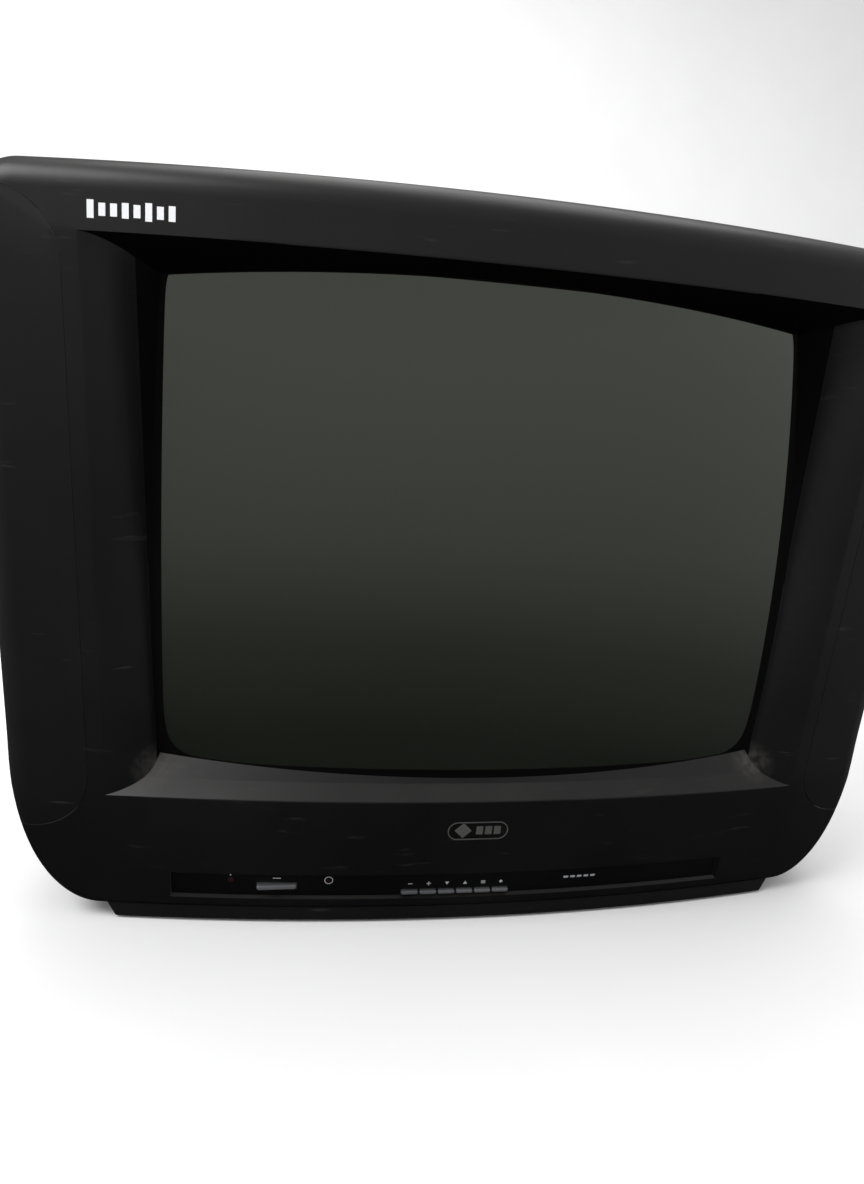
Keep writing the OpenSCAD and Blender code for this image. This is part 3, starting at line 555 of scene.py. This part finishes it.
def outline(i):
    """Points [x, z, side, share] round the cabinet, drawn in by i.

    side is 0 to 3 for bottom, right, top and left, and share runs from 0 to 1 along it.
    """
    half = math.pi / 4

    def lower(a):
        return (
            CORNER_X + (HALF_W - CORNER_X - i) * math.sin(a),
            CORNER_Z - (CORNER_Z - BASE_Z - i) * math.cos(a),
        )

    def upper(a):
        r = TOP_CORNER_R - i
        return (
            HALF_W - TOP_CORNER_R + r * math.cos(a),
            TOP_Z - TOP_CORNER_R + r * math.sin(a),
        )

    steps = [k / CORNER_STEPS for k in range(CORNER_STEPS)]
    bottom = [lower(half * (1 - t)) for t in steps]
    bottom = [(-x, z) for x, z in bottom]
    bottom += [
        (lerp(-CORNER_X, CORNER_X, k / EDGE_STEPS), lower(0)[1]) for k in range(EDGE_STEPS)
    ]
    bottom += [lower(half * t) for t in steps]
    right = [lower(half * (1 + t)) for t in steps]
    right += [
        (HALF_W - i, lerp(CORNER_Z, TOP_Z - TOP_CORNER_R, k / SIDE_STEPS))
        for k in range(SIDE_STEPS)
    ]
    right += [upper(half * t) for t in steps]
    top = [upper(half * (1 + t)) for t in steps]
    end_x = HALF_W - TOP_CORNER_R
    top += [(lerp(end_x, -end_x, k / EDGE_STEPS), TOP_Z - i) for k in range(EDGE_STEPS)]
    turn = [upper(half * (2 - t)) for t in steps]
    top += [(-x, z) for x, z in turn]
    left = [upper(half * (1 - t)) for t in steps]
    left = [(-x, z) for x, z in left]
    left += [
        (-HALF_W + i, lerp(TOP_Z - TOP_CORNER_R, CORNER_Z, k / SIDE_STEPS))
        for k in range(SIDE_STEPS)
    ]
    left += [(-x, z) for x, z in [lower(half * (2 - t)) for t in steps]]
    points = []
    for side, run in enumerate((bottom, right, top, left)):
        follow = (bottom, right, top, left)[(side + 1) % 4][0]
        lengths = [0.0]
        for a, b in zip(run, run[1:] + [follow]):
            lengths.append(lengths[-1] + math.dist(a, b))
        for (x, z), length in zip(run, lengths):
            if z > TOP_Z - TOP_CORNER_R:
                lift = (z - TOP_Z + TOP_CORNER_R) / TOP_CORNER_R
                z -= CROWN * (x / HALF_W) ** 2 * lift
            points.append((x, z, side, length / lengths[-1]))
    return points


PLACES = outline(0.0)


def edge_radius(z):
    """Radius of the front's outer edge: small at the bottom, larger round the brow."""
    return lerp(EDGE_R[0], EDGE_R[1], smooth((z - 20) / 110))


# ---------------------------------------------------------------- the screen opening
def bezier(a, b, c, d, t):
    u = 1 - t
    return a * u ** 3 + 3 * b * u * u * t + 3 * c * u * t * t + d * t ** 3


def pillar_section(s, v):
    """A pillar's plan curve at height share v: 0 at the front, 1 at the crisp edge, 2 at the glass."""
    tip_x = lerp(TIP_LOW[0], TIP_TOP[0], v)
    tip_z = lerp(TIP_LOW[1], TIP_TOP[1], v)
    tip_y = surface_y(tip_x, tip_z)
    edge_z = lerp(GLASS_LOW, GLASS_TOP, v)
    middle = 1 - (2 * v - 1) ** 2
    rim_x = GLASS_X + 3.0 * middle
    rim_y = glass_y(rim_x, edge_z) - GLASS_GAP
    edge_x = lerp(EDGE_LOW_X, EDGE_TOP_X, v)
    edge_y = min(lerp(EDGE_LOW_Y, EDGE_TOP_Y, v), rim_y - 2 * GLASS_GAP)
    if s <= 1:
        x = bezier(tip_x, tip_x - 8.5, edge_x + 3.0, edge_x, s)
        y = bezier(tip_y, tip_y + 0.4, lerp(edge_y - 8.0, edge_y - 12.0, v), edge_y, s)
        return x, y
    return lerp(edge_x, rim_x, s - 1), lerp(edge_y, rim_y, s - 1)


def glass_low_z(x):
    """The visible glass's lower edge."""
    return lerp(GLASS_BULGE_LOW, GLASS_LOW, (x / GLASS_X) ** 2)


def glass_top_z(x):
    """The visible glass's upper edge."""
    return lerp(GLASS_BULGE_TOP, GLASS_TOP, (x / GLASS_X) ** 2)


def ledge_point(x, depth):
    """On the ledge under the glass, at a depth behind its front edge: a chamfer, then a shelf."""
    limit = min(abs(x), GLASS_X)
    end_z = glass_low_z(limit)
    end_depth = glass_y(limit, end_z) - GLASS_GAP - surface_y(limit, LIP_Z)
    share = max(depth - CHAMFER, 0) / (end_depth - CHAMFER)
    z = LIP_Z + min(depth, CHAMFER) + share * (end_z - LIP_Z - CHAMFER)
    return (x, surface_y(x, LIP_Z) + depth, z)


def ledge_depth_end(x):
    """The ledge's depth at the glass."""
    limit = min(abs(x), GLASS_X)
    return glass_y(limit, glass_low_z(limit)) - GLASS_GAP - surface_y(limit, LIP_Z)


def chamfer_station():
    """Where along the pillar's curve the ledge's chamfer ends."""
    low, high = 0.0, 1.0
    for _ in range(40):
        s = (low + high) / 2
        x, y = pillar_section(s, 0.0)
        if y - surface_y(x, LIP_Z) < CHAMFER:
            low = s
        else:
            high = s
    return low


MID_STATION = chamfer_station()
SLOPE_STEPS = 10
SHELF_STEPS = 5
WALL_STEPS = 4


def stations():
    """Stations s from the front to the glass: closer together near the front."""
    slope = [MID_STATION * (k / SLOPE_STEPS) ** 1.3 for k in range(SLOPE_STEPS + 1)]
    shelf = [lerp(MID_STATION, 1.0, k / SHELF_STEPS) for k in range(1, SHELF_STEPS + 1)]
    wall = [1 + k / WALL_STEPS for k in range(1, WALL_STEPS + 1)]
    return slope + shelf + wall


STATIONS = stations()
MID_INDEX = SLOPE_STEPS
EDGE_INDEX = SLOPE_STEPS + SHELF_STEPS


def soffit_path(s):
    """How far back a station lies at the upper corners, from 0 at the front to 1 at the glass."""
    x, y = pillar_section(s, 1.0)
    end_x, end_y = pillar_section(2, 1.0)
    depth = max(y - surface_y(x, SOFFIT_Z), 0.0)
    return depth / (end_y - surface_y(end_x, SOFFIT_Z))


def nearness(share):
    """1 at a side's ends, where it meets its neighbours, and soon 0 away from them."""
    return abs(2 * share - 1) ** 10


def opening_point(side, share, s, index):
    """A point of the opening's surface at a station s."""
    if side in (1, 3):
        v = share if side == 1 else 1 - share
        x, y = pillar_section(s, v)
        low_x, low_y = pillar_section(s, 0.0)
        low_z = ledge_point(low_x, max(low_y - surface_y(low_x, LIP_Z), 0.0))[2]
        top_z = lerp(SOFFIT_Z, GLASS_TOP, soffit_path(s))
        return (x if side == 1 else -x, y, lerp(low_z, top_z, v))
    near = nearness(share)
    last = len(STATIONS) - 1
    if side == 0:
        corner_x, corner_y = pillar_section(s, 0.0)
        x = lerp(-corner_x, corner_x, share)
        path = max(corner_y - surface_y(corner_x, LIP_Z), 0.0)
        end, corner_end = ledge_depth_end(x), ledge_depth_end(GLASS_X)
        if index <= MID_INDEX:
            depth = lerp(CHAMFER * index / MID_INDEX, path, near)
        else:
            even = (index - MID_INDEX) / (last - MID_INDEX)
            part = lerp(even, (path - CHAMFER) / (corner_end - CHAMFER), near)
            depth = CHAMFER + part * (end - CHAMFER)
        return ledge_point(x, depth)
    corner_x = pillar_section(s, 1.0)[0]
    part = lerp(index / last, soffit_path(s), near)
    x = lerp(corner_x, -corner_x, share)
    limit = min(abs(x), GLASS_X)
    end_z = glass_top_z(limit)
    end_y = glass_y(limit, end_z) - GLASS_GAP
    return (x, lerp(surface_y(x, SOFFIT_Z), end_y, part), lerp(SOFFIT_Z, end_z, part))


# ---------------------------------------------------------------- the front moulding
EDGE_ROWS = 8
EDGE_ARC = 9


def outer_rings(inset=0.0, back_y=RIM_Y):
    """Rings from the rear rim round the outer edge to where the front face begins."""
    rings = []
    base = outline(inset)
    radius = [max(edge_radius(p[1]), inset + 0.6) for p in PLACES]

    def start_y(j):
        x, z = PLACES[j][0], PLACES[j][1]
        return surface_y(x, z) + radius[j]

    for k in range(EDGE_ROWS):
        share = k / EDGE_ROWS
        rings.append([(p[0], lerp(back_y, start_y(j), share), p[1]) for j, p in enumerate(base)])
    for k in range(EDGE_ARC + 1):
        angle = math.pi / 2 * k / EDGE_ARC
        ring = []
        for j, edge in enumerate(radius):
            x, z = shrink(j, inset + (edge - inset) * (1 - math.cos(angle)))[:2]
            depth = inset + (edge - inset) * (1 - math.sin(angle))
            ring.append((x, surface_y(x, z) + depth, z))
        rings.append(ring)
    return rings


OUTLINES = {}


def shrink(j, amount):
    """The j-th outline point drawn in by an amount."""
    key = round(amount, 3)
    if key not in OUTLINES:
        OUTLINES[key] = outline(amount)
    return OUTLINES[key][j]


def face_rings(start, end, depth, steps):
    """Rings over the front face between two rings, at a depth behind its surface."""
    rings = []
    for k in range(1, steps):
        ring = []
        for a, b in zip(start, end):
            x, z = lerp(a[0], b[0], k / steps), lerp(a[2], b[2], k / steps)
            ring.append((x, surface_y(x, z) + depth, z))
        rings.append(ring)
    return rings


def fillet(rings, index, reach):
    """Splits a crease ring into three that round it, where its neighbours leave room."""
    before, here, after = rings[index - 1], rings[index], rings[index + 1]
    out = [[], [], []]
    for a, p, b, place in zip(before, here, after, PLACES):
        a, p, b = Vector(a), Vector(p), Vector(b)
        back, ahead = a - p, b - p
        width = reach * (1 - abs(2 * place[3] - 1) ** 8) + 0.01
        first = p + back * min(width / max(back.length, 1e-6), 0.45)
        last = p + ahead * min(width / max(ahead.length, 1e-6), 0.45)
        out[0].append(tuple(first))
        out[1].append(tuple((first + last) / 4 + p / 2))
        out[2].append(tuple(last))
    return rings[:index] + out + rings[index + 1:]


def ring_behind(s):
    """The opening's ring at station 0 or 2, grown outwards by the wall."""
    ring = []
    for _, _, side, share in PLACES:
        x, y, z = opening_point(side, share, s, 0 if s == 0 else len(STATIONS) - 1)
        dx = (0, 1, 0, -1)[side] * WALL
        dz = (-1, 0, 1, 0)[side] * WALL
        corner = nearness(share) * WALL
        if side in (0, 2):
            dx += math.copysign(corner, x)
        else:
            dz += math.copysign(corner, z - TUBE_Z)
        ring.append((x + dx, y, z + dz))
    return ring


def bezel_shell():
    """The front moulding as one closed skin: outside, screen opening and inside."""
    outside = outer_rings()
    tips = [opening_point(p[2], p[3], 0.0, 0) for p in PLACES]
    face = face_rings(outside[-1], tips, 0.0, 12)
    opening = [
        [opening_point(p[2], p[3], s, k) for p in PLACES] for k, s in enumerate(STATIONS)
    ]
    rings = outside + face + opening
    first = len(outside) + len(face)
    for index, reach in ((EDGE_INDEX, 0.9), (MID_INDEX, 0.8), (0, 0.9)):
        rings = fillet(rings, first + index, reach)

    back = [(x, min(y, glass_y(x, z) - 0.5), z) for x, y, z in ring_behind(2.0)]
    hidden = [(x, surface_y(x, z) + SKIN + 1, z) for x, _, z in ring_behind(0.0)]
    inner = outer_rings(SKIN)
    inner.reverse()
    inside = face_rings(hidden, inner[0], SKIN, 6)
    rings = rings + [back, hidden] + inside + inner
    verts, faces = loft(rings, joined=True)
    return make_object("front_moulding", verts, faces)


def bowed_slab(name, x_range, z_range, d0, d1):
    """A closed slab that follows the front, from depth d0 to d1 behind its surface."""
    z0, z1 = z_range
    steps = 60
    rings = []
    for k in range(steps + 1):
        x = lerp(*x_range, k / steps)
        rings.append([
            (x, surface_y(x, z0) + d1, z0), (x, surface_y(x, z0) + d0, z0),
            (x, surface_y(x, z1) + d0, z1), (x, surface_y(x, z1) + d1, z1),
        ])
    verts, faces = loft(rings)
    n = len(verts)
    faces += [(3, 2, 1, 0), (n - 4, n - 3, n - 2, n - 1)]
    return make_object(name, verts, faces)


def front_solid(name, inset):
    """The whole front as a closed block, drawn in by an amount."""
    rings = outer_rings(inset, RIM_Y + 3)
    middle = [(0.0, 0.0, TUBE_Z)] * len(PLACES)
    face = face_rings(rings[-1], middle, inset, 10)
    verts, faces = loft(rings + face, capped=True)
    return make_object(name, verts, faces)


def cover_prism(name, side, grow, back_y):
    """The side cover's outline seen from the front, as a prism."""
    r = SIDE_COVER_R
    low, high = SIDE_COVER_Z[0] - grow, SIDE_COVER_Z[1] + grow
    centre_x = SIDE_COVER_X - grow + r
    outer = HALF_W + 20
    points = [(outer, low), (outer, high)]
    for start, centre_z in ((90, high - r), (180, low + r)):
        for k in range(13):
            a = math.radians(start + 90 * k / 12)
            points.append((centre_x + r * math.cos(a), centre_z + r * math.sin(a)))
    rings = [[(side * x, y, z) for x, z in points] for y in (FRONT_Y - 40, back_y)]
    verts, faces = loft(rings, capped=True)
    return make_object(name, verts, faces)


COVER_GAP = 0.35
COVER_BACK_Y = RIM_Y - 8


def build_front():
    """The front moulding: its shell with the covers' pockets, the groove and the badge's seat."""
    shell = bezel_shell()
    for side in (-1, 1):
        core = front_solid("core", WALL - 0.1)
        pocket = cover_prism("pocket", side, COVER_GAP, COVER_BACK_Y + 0.4)
        combine(pocket, core, "DIFFERENCE")
        combine(shell, pocket, "DIFFERENCE")
    combine(shell, bowed_slab("groove", GROOVE_X, GROOVE_Z, -8, GROOVE_DEPTH), "DIFFERENCE")
    slot = bowed_slab("key_slot", (-190, 186), (19.2, 36.5), GROOVE_DEPTH - 1, 15)
    combine(shell, slot, "DIFFERENCE")
    combine(shell, badge_seat(), "DIFFERENCE")
    shade(shell, 32)
    shell.visible_glossy = False
    tidy_piece(shell, MATERIALS["cabinet_plastic"], replaces=["front_bezel"])
    # the opening's shaded walls and ceiling get painted shade
    return paint_recess_shade(shell)


def paint_recess_shade(shell):
    """Painted shade: the opening's ceiling and the walls between the crisp edge and the glass take a
    dull black that stands in for their shade.
    """
    # painted shade on the moulding's shaded faces, kept as a second material
    shell.data.materials.append(MATERIALS["painted_shade_black"])
    for face in shell.data.polygons:
        x, _, z = face.center / MM
        v = min(max((z - GLASS_LOW) / (GLASS_TOP - GLASS_LOW), 0.0), 1.0)
        wall = GLASS_X - 4 < abs(x) < lerp(EDGE_LOW_X, EDGE_TOP_X, v) - 0.1
        wall = wall and LIP_Z + 8 < z < SOFFIT_Z and abs(face.normal.z) < 0.6
        ceiling = GLASS_TOP - 8 < z < SOFFIT_Z + 12 and face.normal.z < -0.5
        ceiling = ceiling and abs(x) < TIP_TOP[0]
        if wall or ceiling:
            face.material_index = 1
    return shell


def badge_seat():
    """The shallow recess that the badge lies in."""
    points = rounded_rect(20, 6.4, 6.3, 10, BADGE)
    rings = [[(x, surface_y(x, z) + d, z) for x, z in points] for d in (-4.0, 0.8)]
    verts, faces = loft(rings, capped=True)
    return make_object("seat", verts, faces)


def build_plinth():
    """The foot under the front, set back a little from the cabinet's bottom edge."""
    rings = []
    for z, a in ((PLINTH_Z, 234.0), (BASE_Z + 2, 240.0)):
        front = [lerp(-a, a, k / 40) for k in range(41)]
        ring = [(x, surface_y(x, BASE_Z) + 1.2, z) for x in front]
        ring += [(a, RIM_Y, z), (-a, RIM_Y, z)]
        rings.append(ring)
    verts, faces = loft(rings, capped=True)
    plinth = make_object("front_plinth", verts, faces)
    soften(plinth, 0.8)
    shade(plinth)
    return tidy_piece(plinth, MATERIALS["cabinet_plastic"])


SLOTS = 14
SLOT_Z = 194
SLOT_PITCH = 8
SLOT_H = 3


def build_side_cover(side):
    """The cover that wraps round a front corner, with slots for its loudspeaker."""
    hand = "right" if side > 0 else "left"
    cover = front_solid("side_cover_" + hand, 0.0)
    combine(cover, cover_prism("region", side, 0.0, COVER_BACK_Y), "INTERSECT")
    combine(cover, front_solid("core", WALL - 0.3), "DIFFERENCE")
    x0, x1 = (HALF_W - 6, HALF_W + 6) if side > 0 else (-HALF_W - 6, -HALF_W + 6)
    speaker_low, speaker_high = box_mm("speaker_right")
    y0, y1 = speaker_low.y + 6, speaker_high.y - 6
    slots = None
    for k in range(SLOTS):
        z = SLOT_Z + SLOT_PITCH * k
        cutter = box_object("slot", (x0, y0, z), (x1, y1, z + SLOT_H))
        slots = cutter if slots is None else combine(slots, cutter, "UNION")
    combine(cover, slots, "DIFFERENCE")
    shade(cover, 32)
    cover.visible_glossy = False
    return tidy_piece(
        cover, MATERIALS["cover_plastic"], replaces=["speaker_cover_" + hand]
    )


PICTURE_A = 202.5
PICTURE_B = 152.5
PICTURE_Z = 264.8


def build_glass_margin_and_shade():
    """The black margin round the picture, partly the dark edge outside the phosphor and partly painted
    shade where the opening's walls shadow the glass; its corners are rounder below than above.
    """
    outer, inner = [], []
    for _, _, side, share in PLACES:
        x, _, z = opening_point(side, share, 2.0, len(STATIONS) - 1)
        rise = z - PICTURE_Z
        power = 28 if rise > 0 else 15
        reach = ((abs(x) / PICTURE_A) ** power + (abs(rise) / PICTURE_B) ** power) ** (1 / power)
        reach = max(reach, 1.004)
        outer.append((x * 1.006, PICTURE_Z + rise * 1.006))
        inner.append((x / reach, PICTURE_Z + rise / reach))
    rings = []
    for curve, lift in ((outer, 0.12), (outer, 0.4), (inner, 0.35), (inner, 0.12)):
        rings.append([(x, glass_y(x, z) - lift, z) for x, z in curve])
    verts, faces = loft(rings, joined=True)
    border = make_object("glass_margin_and_shade", verts, faces)
    border.visible_glossy = False
    shade(border, 40, weighted=False)
    # painted shade along the glass's edge, in the same black as the opening's shaded walls
    return tidy_piece(border, MATERIALS["painted_shade_black"])


# ---------------------------------------------------------------- the buttons' caps
CAP_DEPTH = 11.5
CAP_CURVE = 0.7                  # how much of its half height a cap's front rounds off
BUTTONS = (
    "power_button", "volume_down_button", "volume_up_button", "programme_down_button",
    "programme_up_button", "menu_button", "av_button",
)


def build_button(name):
    """A rounded bar on its stem, lower than the slot that it moves in."""
    low, high = box_mm(name)
    a = (high.x - low.x) / 2
    b = 1.7 if name == "power_button" else 1.35
    middle = ((low.x + high.x) / 2, (low.z + high.z) / 2)
    rings = []
    for y in (high.y, low.y + CAP_DEPTH):
        rings.append([(x, y, z) for x, z in rounded_rect(2, 1.1, 0.5, 8, middle, straight=8)])
    body = rounded_rect(a, b, b * 0.9, 8, middle, straight=8)
    rings.append([(x, low.y + CAP_DEPTH, z) for x, z in body])
    for k in range(7):
        angle = math.pi / 2 * k / 6
        inset = CAP_CURVE * b * (1 - math.cos(angle))
        y = low.y + 0.05 + CAP_CURVE * b * (1 - math.sin(angle))
        points = rounded_rect(a - inset, b - inset, (b - inset) * 0.9, 8, middle, straight=8)
        rings.append([(x, y, z) for x, z in points])
    verts, faces = loft(rings, capped=True)
    cap = make_object(name + "_cap", verts, faces)
    shade(cap, 50, weighted=False)
    return tidy_piece(
        cap, MATERIALS["key_plastic"], body=name, replaces=[name]
    )


# ---------------------------------------------------------------- printed marks
def bar(x, z, half_x, half_z):
    corners = ((-1, -1), (1, -1), (1, 1), (-1, 1))
    return [(x + half_x * sx, z + half_z * sz) for sx, sz in corners]


def cross(x, z, reach, half):
    points = []
    for sx, sz in ((1, -1), (1, 1), (-1, 1), (-1, -1)):
        corner = [(sx * half, sz * reach), (sx * half, sz * half), (sx * reach, sz * half)]
        points += corner if sx * sz < 0 else corner[::-1]
    return [(x + px, z + pz) for px, pz in points]


def triangle(x, z, reach, up):
    foot = z - reach * 0.8 * up
    return [(x - reach, foot), (x + reach, foot), (x, z + reach * up)]


def disc(x, z, r):
    turns = [2 * math.pi * k / 20 for k in range(20)]
    return [(x + r * math.cos(a), z + r * math.sin(a)) for a in turns]


def printed(name, outlines, depth, ink):
    """Flat marks that stand a hair proud of a surface at a depth behind the front."""
    verts, faces = [], []
    for points in outlines:
        rings = [
            [(x, surface_y(x, z) + depth + shift, z) for x, z in points]
            for shift in (-0.12, 0.08)
        ]
        more, sides = loft(rings, capped=True)
        faces += [tuple(i + len(verts) for i in face) for face in sides]
        verts += more
    mark = make_object(name, verts, faces)
    mark.visible_glossy = False
    shade(mark, 30, weighted=False)
    return tidy_piece(mark, MATERIALS[ink])


KEY_X0 = -40.25
KEY_PITCH = 12.6
SIGN_Z = 28.6
BROW_MARK = (-230.0, 425.5)      # the first bar's centre
BROW_PITCH = 5.8


def build_marks():
    """Plain bars on the brow and at the groove's right, and a sign over each control."""
    heights = (4.4, 3.1, 3.1, 3.7, 3.1, 4.4, 3.1, 3.7)
    x, z = BROW_MARK
    bars = [bar(x + BROW_PITCH * k, z, 1.7, half) for k, half in enumerate(heights)]
    printed("brow_mark", bars, 0.0, "print_white")
    x = [KEY_X0 + KEY_PITCH * k for k in range(6)]
    signs = [bar(x[0], SIGN_Z, 1.5, 0.3), cross(x[1], SIGN_Z, 1.5, 0.3)]
    signs += [triangle(x[2], SIGN_Z, 1.4, -1), triangle(x[3], SIGN_Z, 1.4, 1)]
    signs += [bar(x[4], SIGN_Z + shift, 1.5, 0.22) for shift in (-0.9, 0, 0.9)]
    signs += [disc(x[5], SIGN_Z, 1.1)]
    power_sign, lamp_sign = bar(-129, 33.4, 2.6, 0.3), disc(-159, 35.4, 0.5)
    signs += [power_sign, lamp_sign]
    signs += [bar(70 + 5 * k, 29.5, 1.7, 0.8) for k in range(5)]
    printed("control_signs", signs, STRIP_DEPTH, "print_grey")


def thin_rim(name, outer, inner, depth, material):
    """A thin line between two outlines, a hair proud of a surface behind the front."""
    rings = []
    for points, shift in ((outer, 0.1), (outer, -0.15), (inner, -0.15), (inner, 0.1)):
        rings.append([(x, surface_y(x, z) + depth + shift, z) for x, z in points])
    verts, faces = loft(rings, joined=True)
    rim = make_object(name, verts, faces)
    rim.visible_glossy = False
    shade(rim, 30, weighted=False)
    return tidy_piece(rim, MATERIALS[material])


def build_rims():
    """The lines round the badge's seat and round the remote-control window."""
    outer = rounded_rect(20.4, 6.8, 6.7, 10, BADGE)
    inner = rounded_rect(19.7, 6.1, 6.0, 10, BADGE)
    thin_rim("badge_rim", outer, inner, 0.0, "silver_trim")
    low, high = box_mm("ir_window")
    middle = ((low.x + high.x) / 2, (low.z + high.z) / 2)
    circles = []
    for width in (0.9, 0.4):
        r = (high.x - low.x) / 2 + width
        circles.append(rounded_rect(r, r, r - 0.01, 10, middle))
    thin_rim("ir_window_rim", circles[0], circles[1], STRIP_DEPTH, "print_grey")


# ---------------------------------------------------------------- the tube's face
PANEL_CORNER_R = 26.0
PANEL_FACE = 12.0                # the glass's thickness in the face and in the skirt
PANEL_SKIRT = 9.0


def panel_ring(share, wall=0.0, face=0.0):
    """A ring on the panel's face, at a share of the way out from its centre."""
    a, b, r = (size - wall for size in (PANEL_A, PANEL_B, PANEL_CORNER_R))
    ring = []
    for x, z in rounded_rect(a, b, r, 10, straight=32):
        x, z = x * share, z * share
        y = FACE_Y + FACE_R - math.sqrt((FACE_R - face) ** 2 - x * x - z * z)
        ring.append((x, y, TUBE_Z + z))
    return ring


def build_faceplate():
    """The glass panel: a spherical face on a skirt, open at the back."""
    shares = [0.02 + 0.978 * k / 26 for k in range(27)]
    rings = [panel_ring(share) for share in shares]
    edge = panel_ring(1.0)
    rings.append([(x, y + 1.0, z) for x, y, z in edge])
    rings += [[(x, lerp(y, SEAM_Y, t), z) for x, y, z in edge] for t in (0.15, 0.5, 1.0)]
    inner = panel_ring(1.0, PANEL_SKIRT, PANEL_FACE)
    rings += [[(x, lerp(SEAM_Y, y, t), z) for x, y, z in inner] for t in (0.0, 0.5, 1.0)]
    rings += [panel_ring(share, PANEL_SKIRT, PANEL_FACE) for share in reversed(shares[:-1])]
    verts, faces = loft(rings, capped=True)
    glass = make_object("screen_face", verts, faces)
    shade(glass, 40, weighted=False)
    return tidy_piece(
        glass, MATERIALS["screen_glass"], replaces=["crt_faceplate"]
    )


# ---------------------------------------------------------------- stage, light and camera
def build_stage():
    """A pale floor that curves up into a backdrop."""
    front, back, top, bend = -2600.0, 1900.0, 2600.0, 700.0
    profile = [(front, 0.0)]
    for k in range(17):
        a = math.radians(90 * k / 16)
        profile.append((back - bend + bend * math.sin(a), bend - bend * math.cos(a)))
    profile.append((back, top))
    rings = [[(x, y, z) for y, z in profile] for x in (-3200.0, 3200.0)]
    n = len(profile)
    verts = rings[0] + rings[1]
    faces = [(j, j + 1, n + j + 1, n + j) for j in range(n - 1)]
    floor = make_object("studio_floor", verts, faces)
    shade(floor, 60, weighted=False)
    material, tree, shader = new_material("studio_paper")
    paper = ramp(tree, noise(tree, 6.0, 2.0), ((0.2, grey(0.88)), (0.8, grey(0.91))))
    tree.links.new(paper, shader.inputs["Base Color"])
    shader.inputs["Roughness"].default_value = 0.9
    floor.data.materials.append(material)
    floor.visible_glossy = False


def area_light(name, place, target, size, power):
    data = bpy.data.lights.new(name, "AREA")
    data.shape = "RECTANGLE"
    data.size, data.size_y = size
    data.energy = power
    light = bpy.data.objects.new(name, data)
    bpy.context.scene.collection.objects.link(light)
    light.location = place
    aim = Vector(target) - Vector(place)
    light.rotation_euler = aim.to_track_quat("-Z", "Y").to_euler()
    return light


def build_lights():
    """A room that is bright above, dim below and behind, and two soft lights."""
    world = bpy.data.worlds.new("studio")
    bpy.context.scene.world = world
    world.use_nodes = True
    tree = world.node_tree
    background = tree.nodes["Background"]
    place = tree.nodes.new("ShaderNodeTexCoord")
    heading = parts(tree, place.outputs["Generated"])
    steps = ((0.0, grey(0.005)), (0.2, grey(0.2)), (0.42, grey(0.6)), (0.85, grey(1.0)))
    sky = ramp(tree, fade(tree, heading["Z"], -0.6, 0.6), steps)
    dimmed = tree.nodes.new("ShaderNodeVectorMath")
    dimmed.operation = "SCALE"
    tree.links.new(sky, dimmed.inputs[0])
    tree.links.new(fade(tree, heading["Y"], -0.1, 0.8, 1.0, 0.25), dimmed.inputs["Scale"])
    tree.links.new(dimmed.outputs["Vector"], background.inputs["Color"])
    background.inputs["Strength"].default_value = 0.8
    area_light("key_light", (-1.5, -0.9, 2.0), (0, -0.1, 0.3), (1.6, 1.0), 40)
    area_light("top_light", (0.2, 0.3, 2.3), (0, 0, 0.2), (2.2, 1.6), 27)


CAMERA_PLACE = (-0.1207, -0.6613, 0.3065)
CAMERA_YAW = 9.91
CAMERA_PITCH = -9.09
CAMERA_ROLL = 3.34
CAMERA_LENS = 23.55


def build_camera():
    """The photograph's view."""
    yaw, pitch, roll = (math.radians(a) for a in (CAMERA_YAW, CAMERA_PITCH, CAMERA_ROLL))
    ahead = Vector((
        math.sin(yaw) * math.cos(pitch), math.cos(yaw) * math.cos(pitch), math.sin(pitch)
    ))
    level = Vector((math.cos(yaw), -math.sin(yaw), 0.0))
    up = level.cross(ahead)
    right = math.cos(roll) * level + math.sin(roll) * up
    top = -math.sin(roll) * level + math.cos(roll) * up
    data = bpy.data.cameras.new("camera")
    data.sensor_fit = "VERTICAL"
    data.sensor_height = 36.0
    data.lens = CAMERA_LENS
    data.clip_start = 0.02
    camera = bpy.data.objects.new("camera", data)
    bpy.context.scene.collection.objects.link(camera)
    matrix = Matrix((right, top, -ahead)).transposed().to_4x4()
    matrix.translation = Vector(CAMERA_PLACE)
    camera.matrix_world = matrix
    bpy.context.scene.camera = camera


bpy.context.scene.view_settings.view_transform = "Standard"
build_camera()
build_stage()
build_lights()
finish_cad_nodes()
build_front()
build_plinth()
build_side_cover(-1)
build_side_cover(1)
build_faceplate()
build_glass_margin_and_shade()
for button in BUTTONS:
    build_button(button)
build_marks()
build_rims()
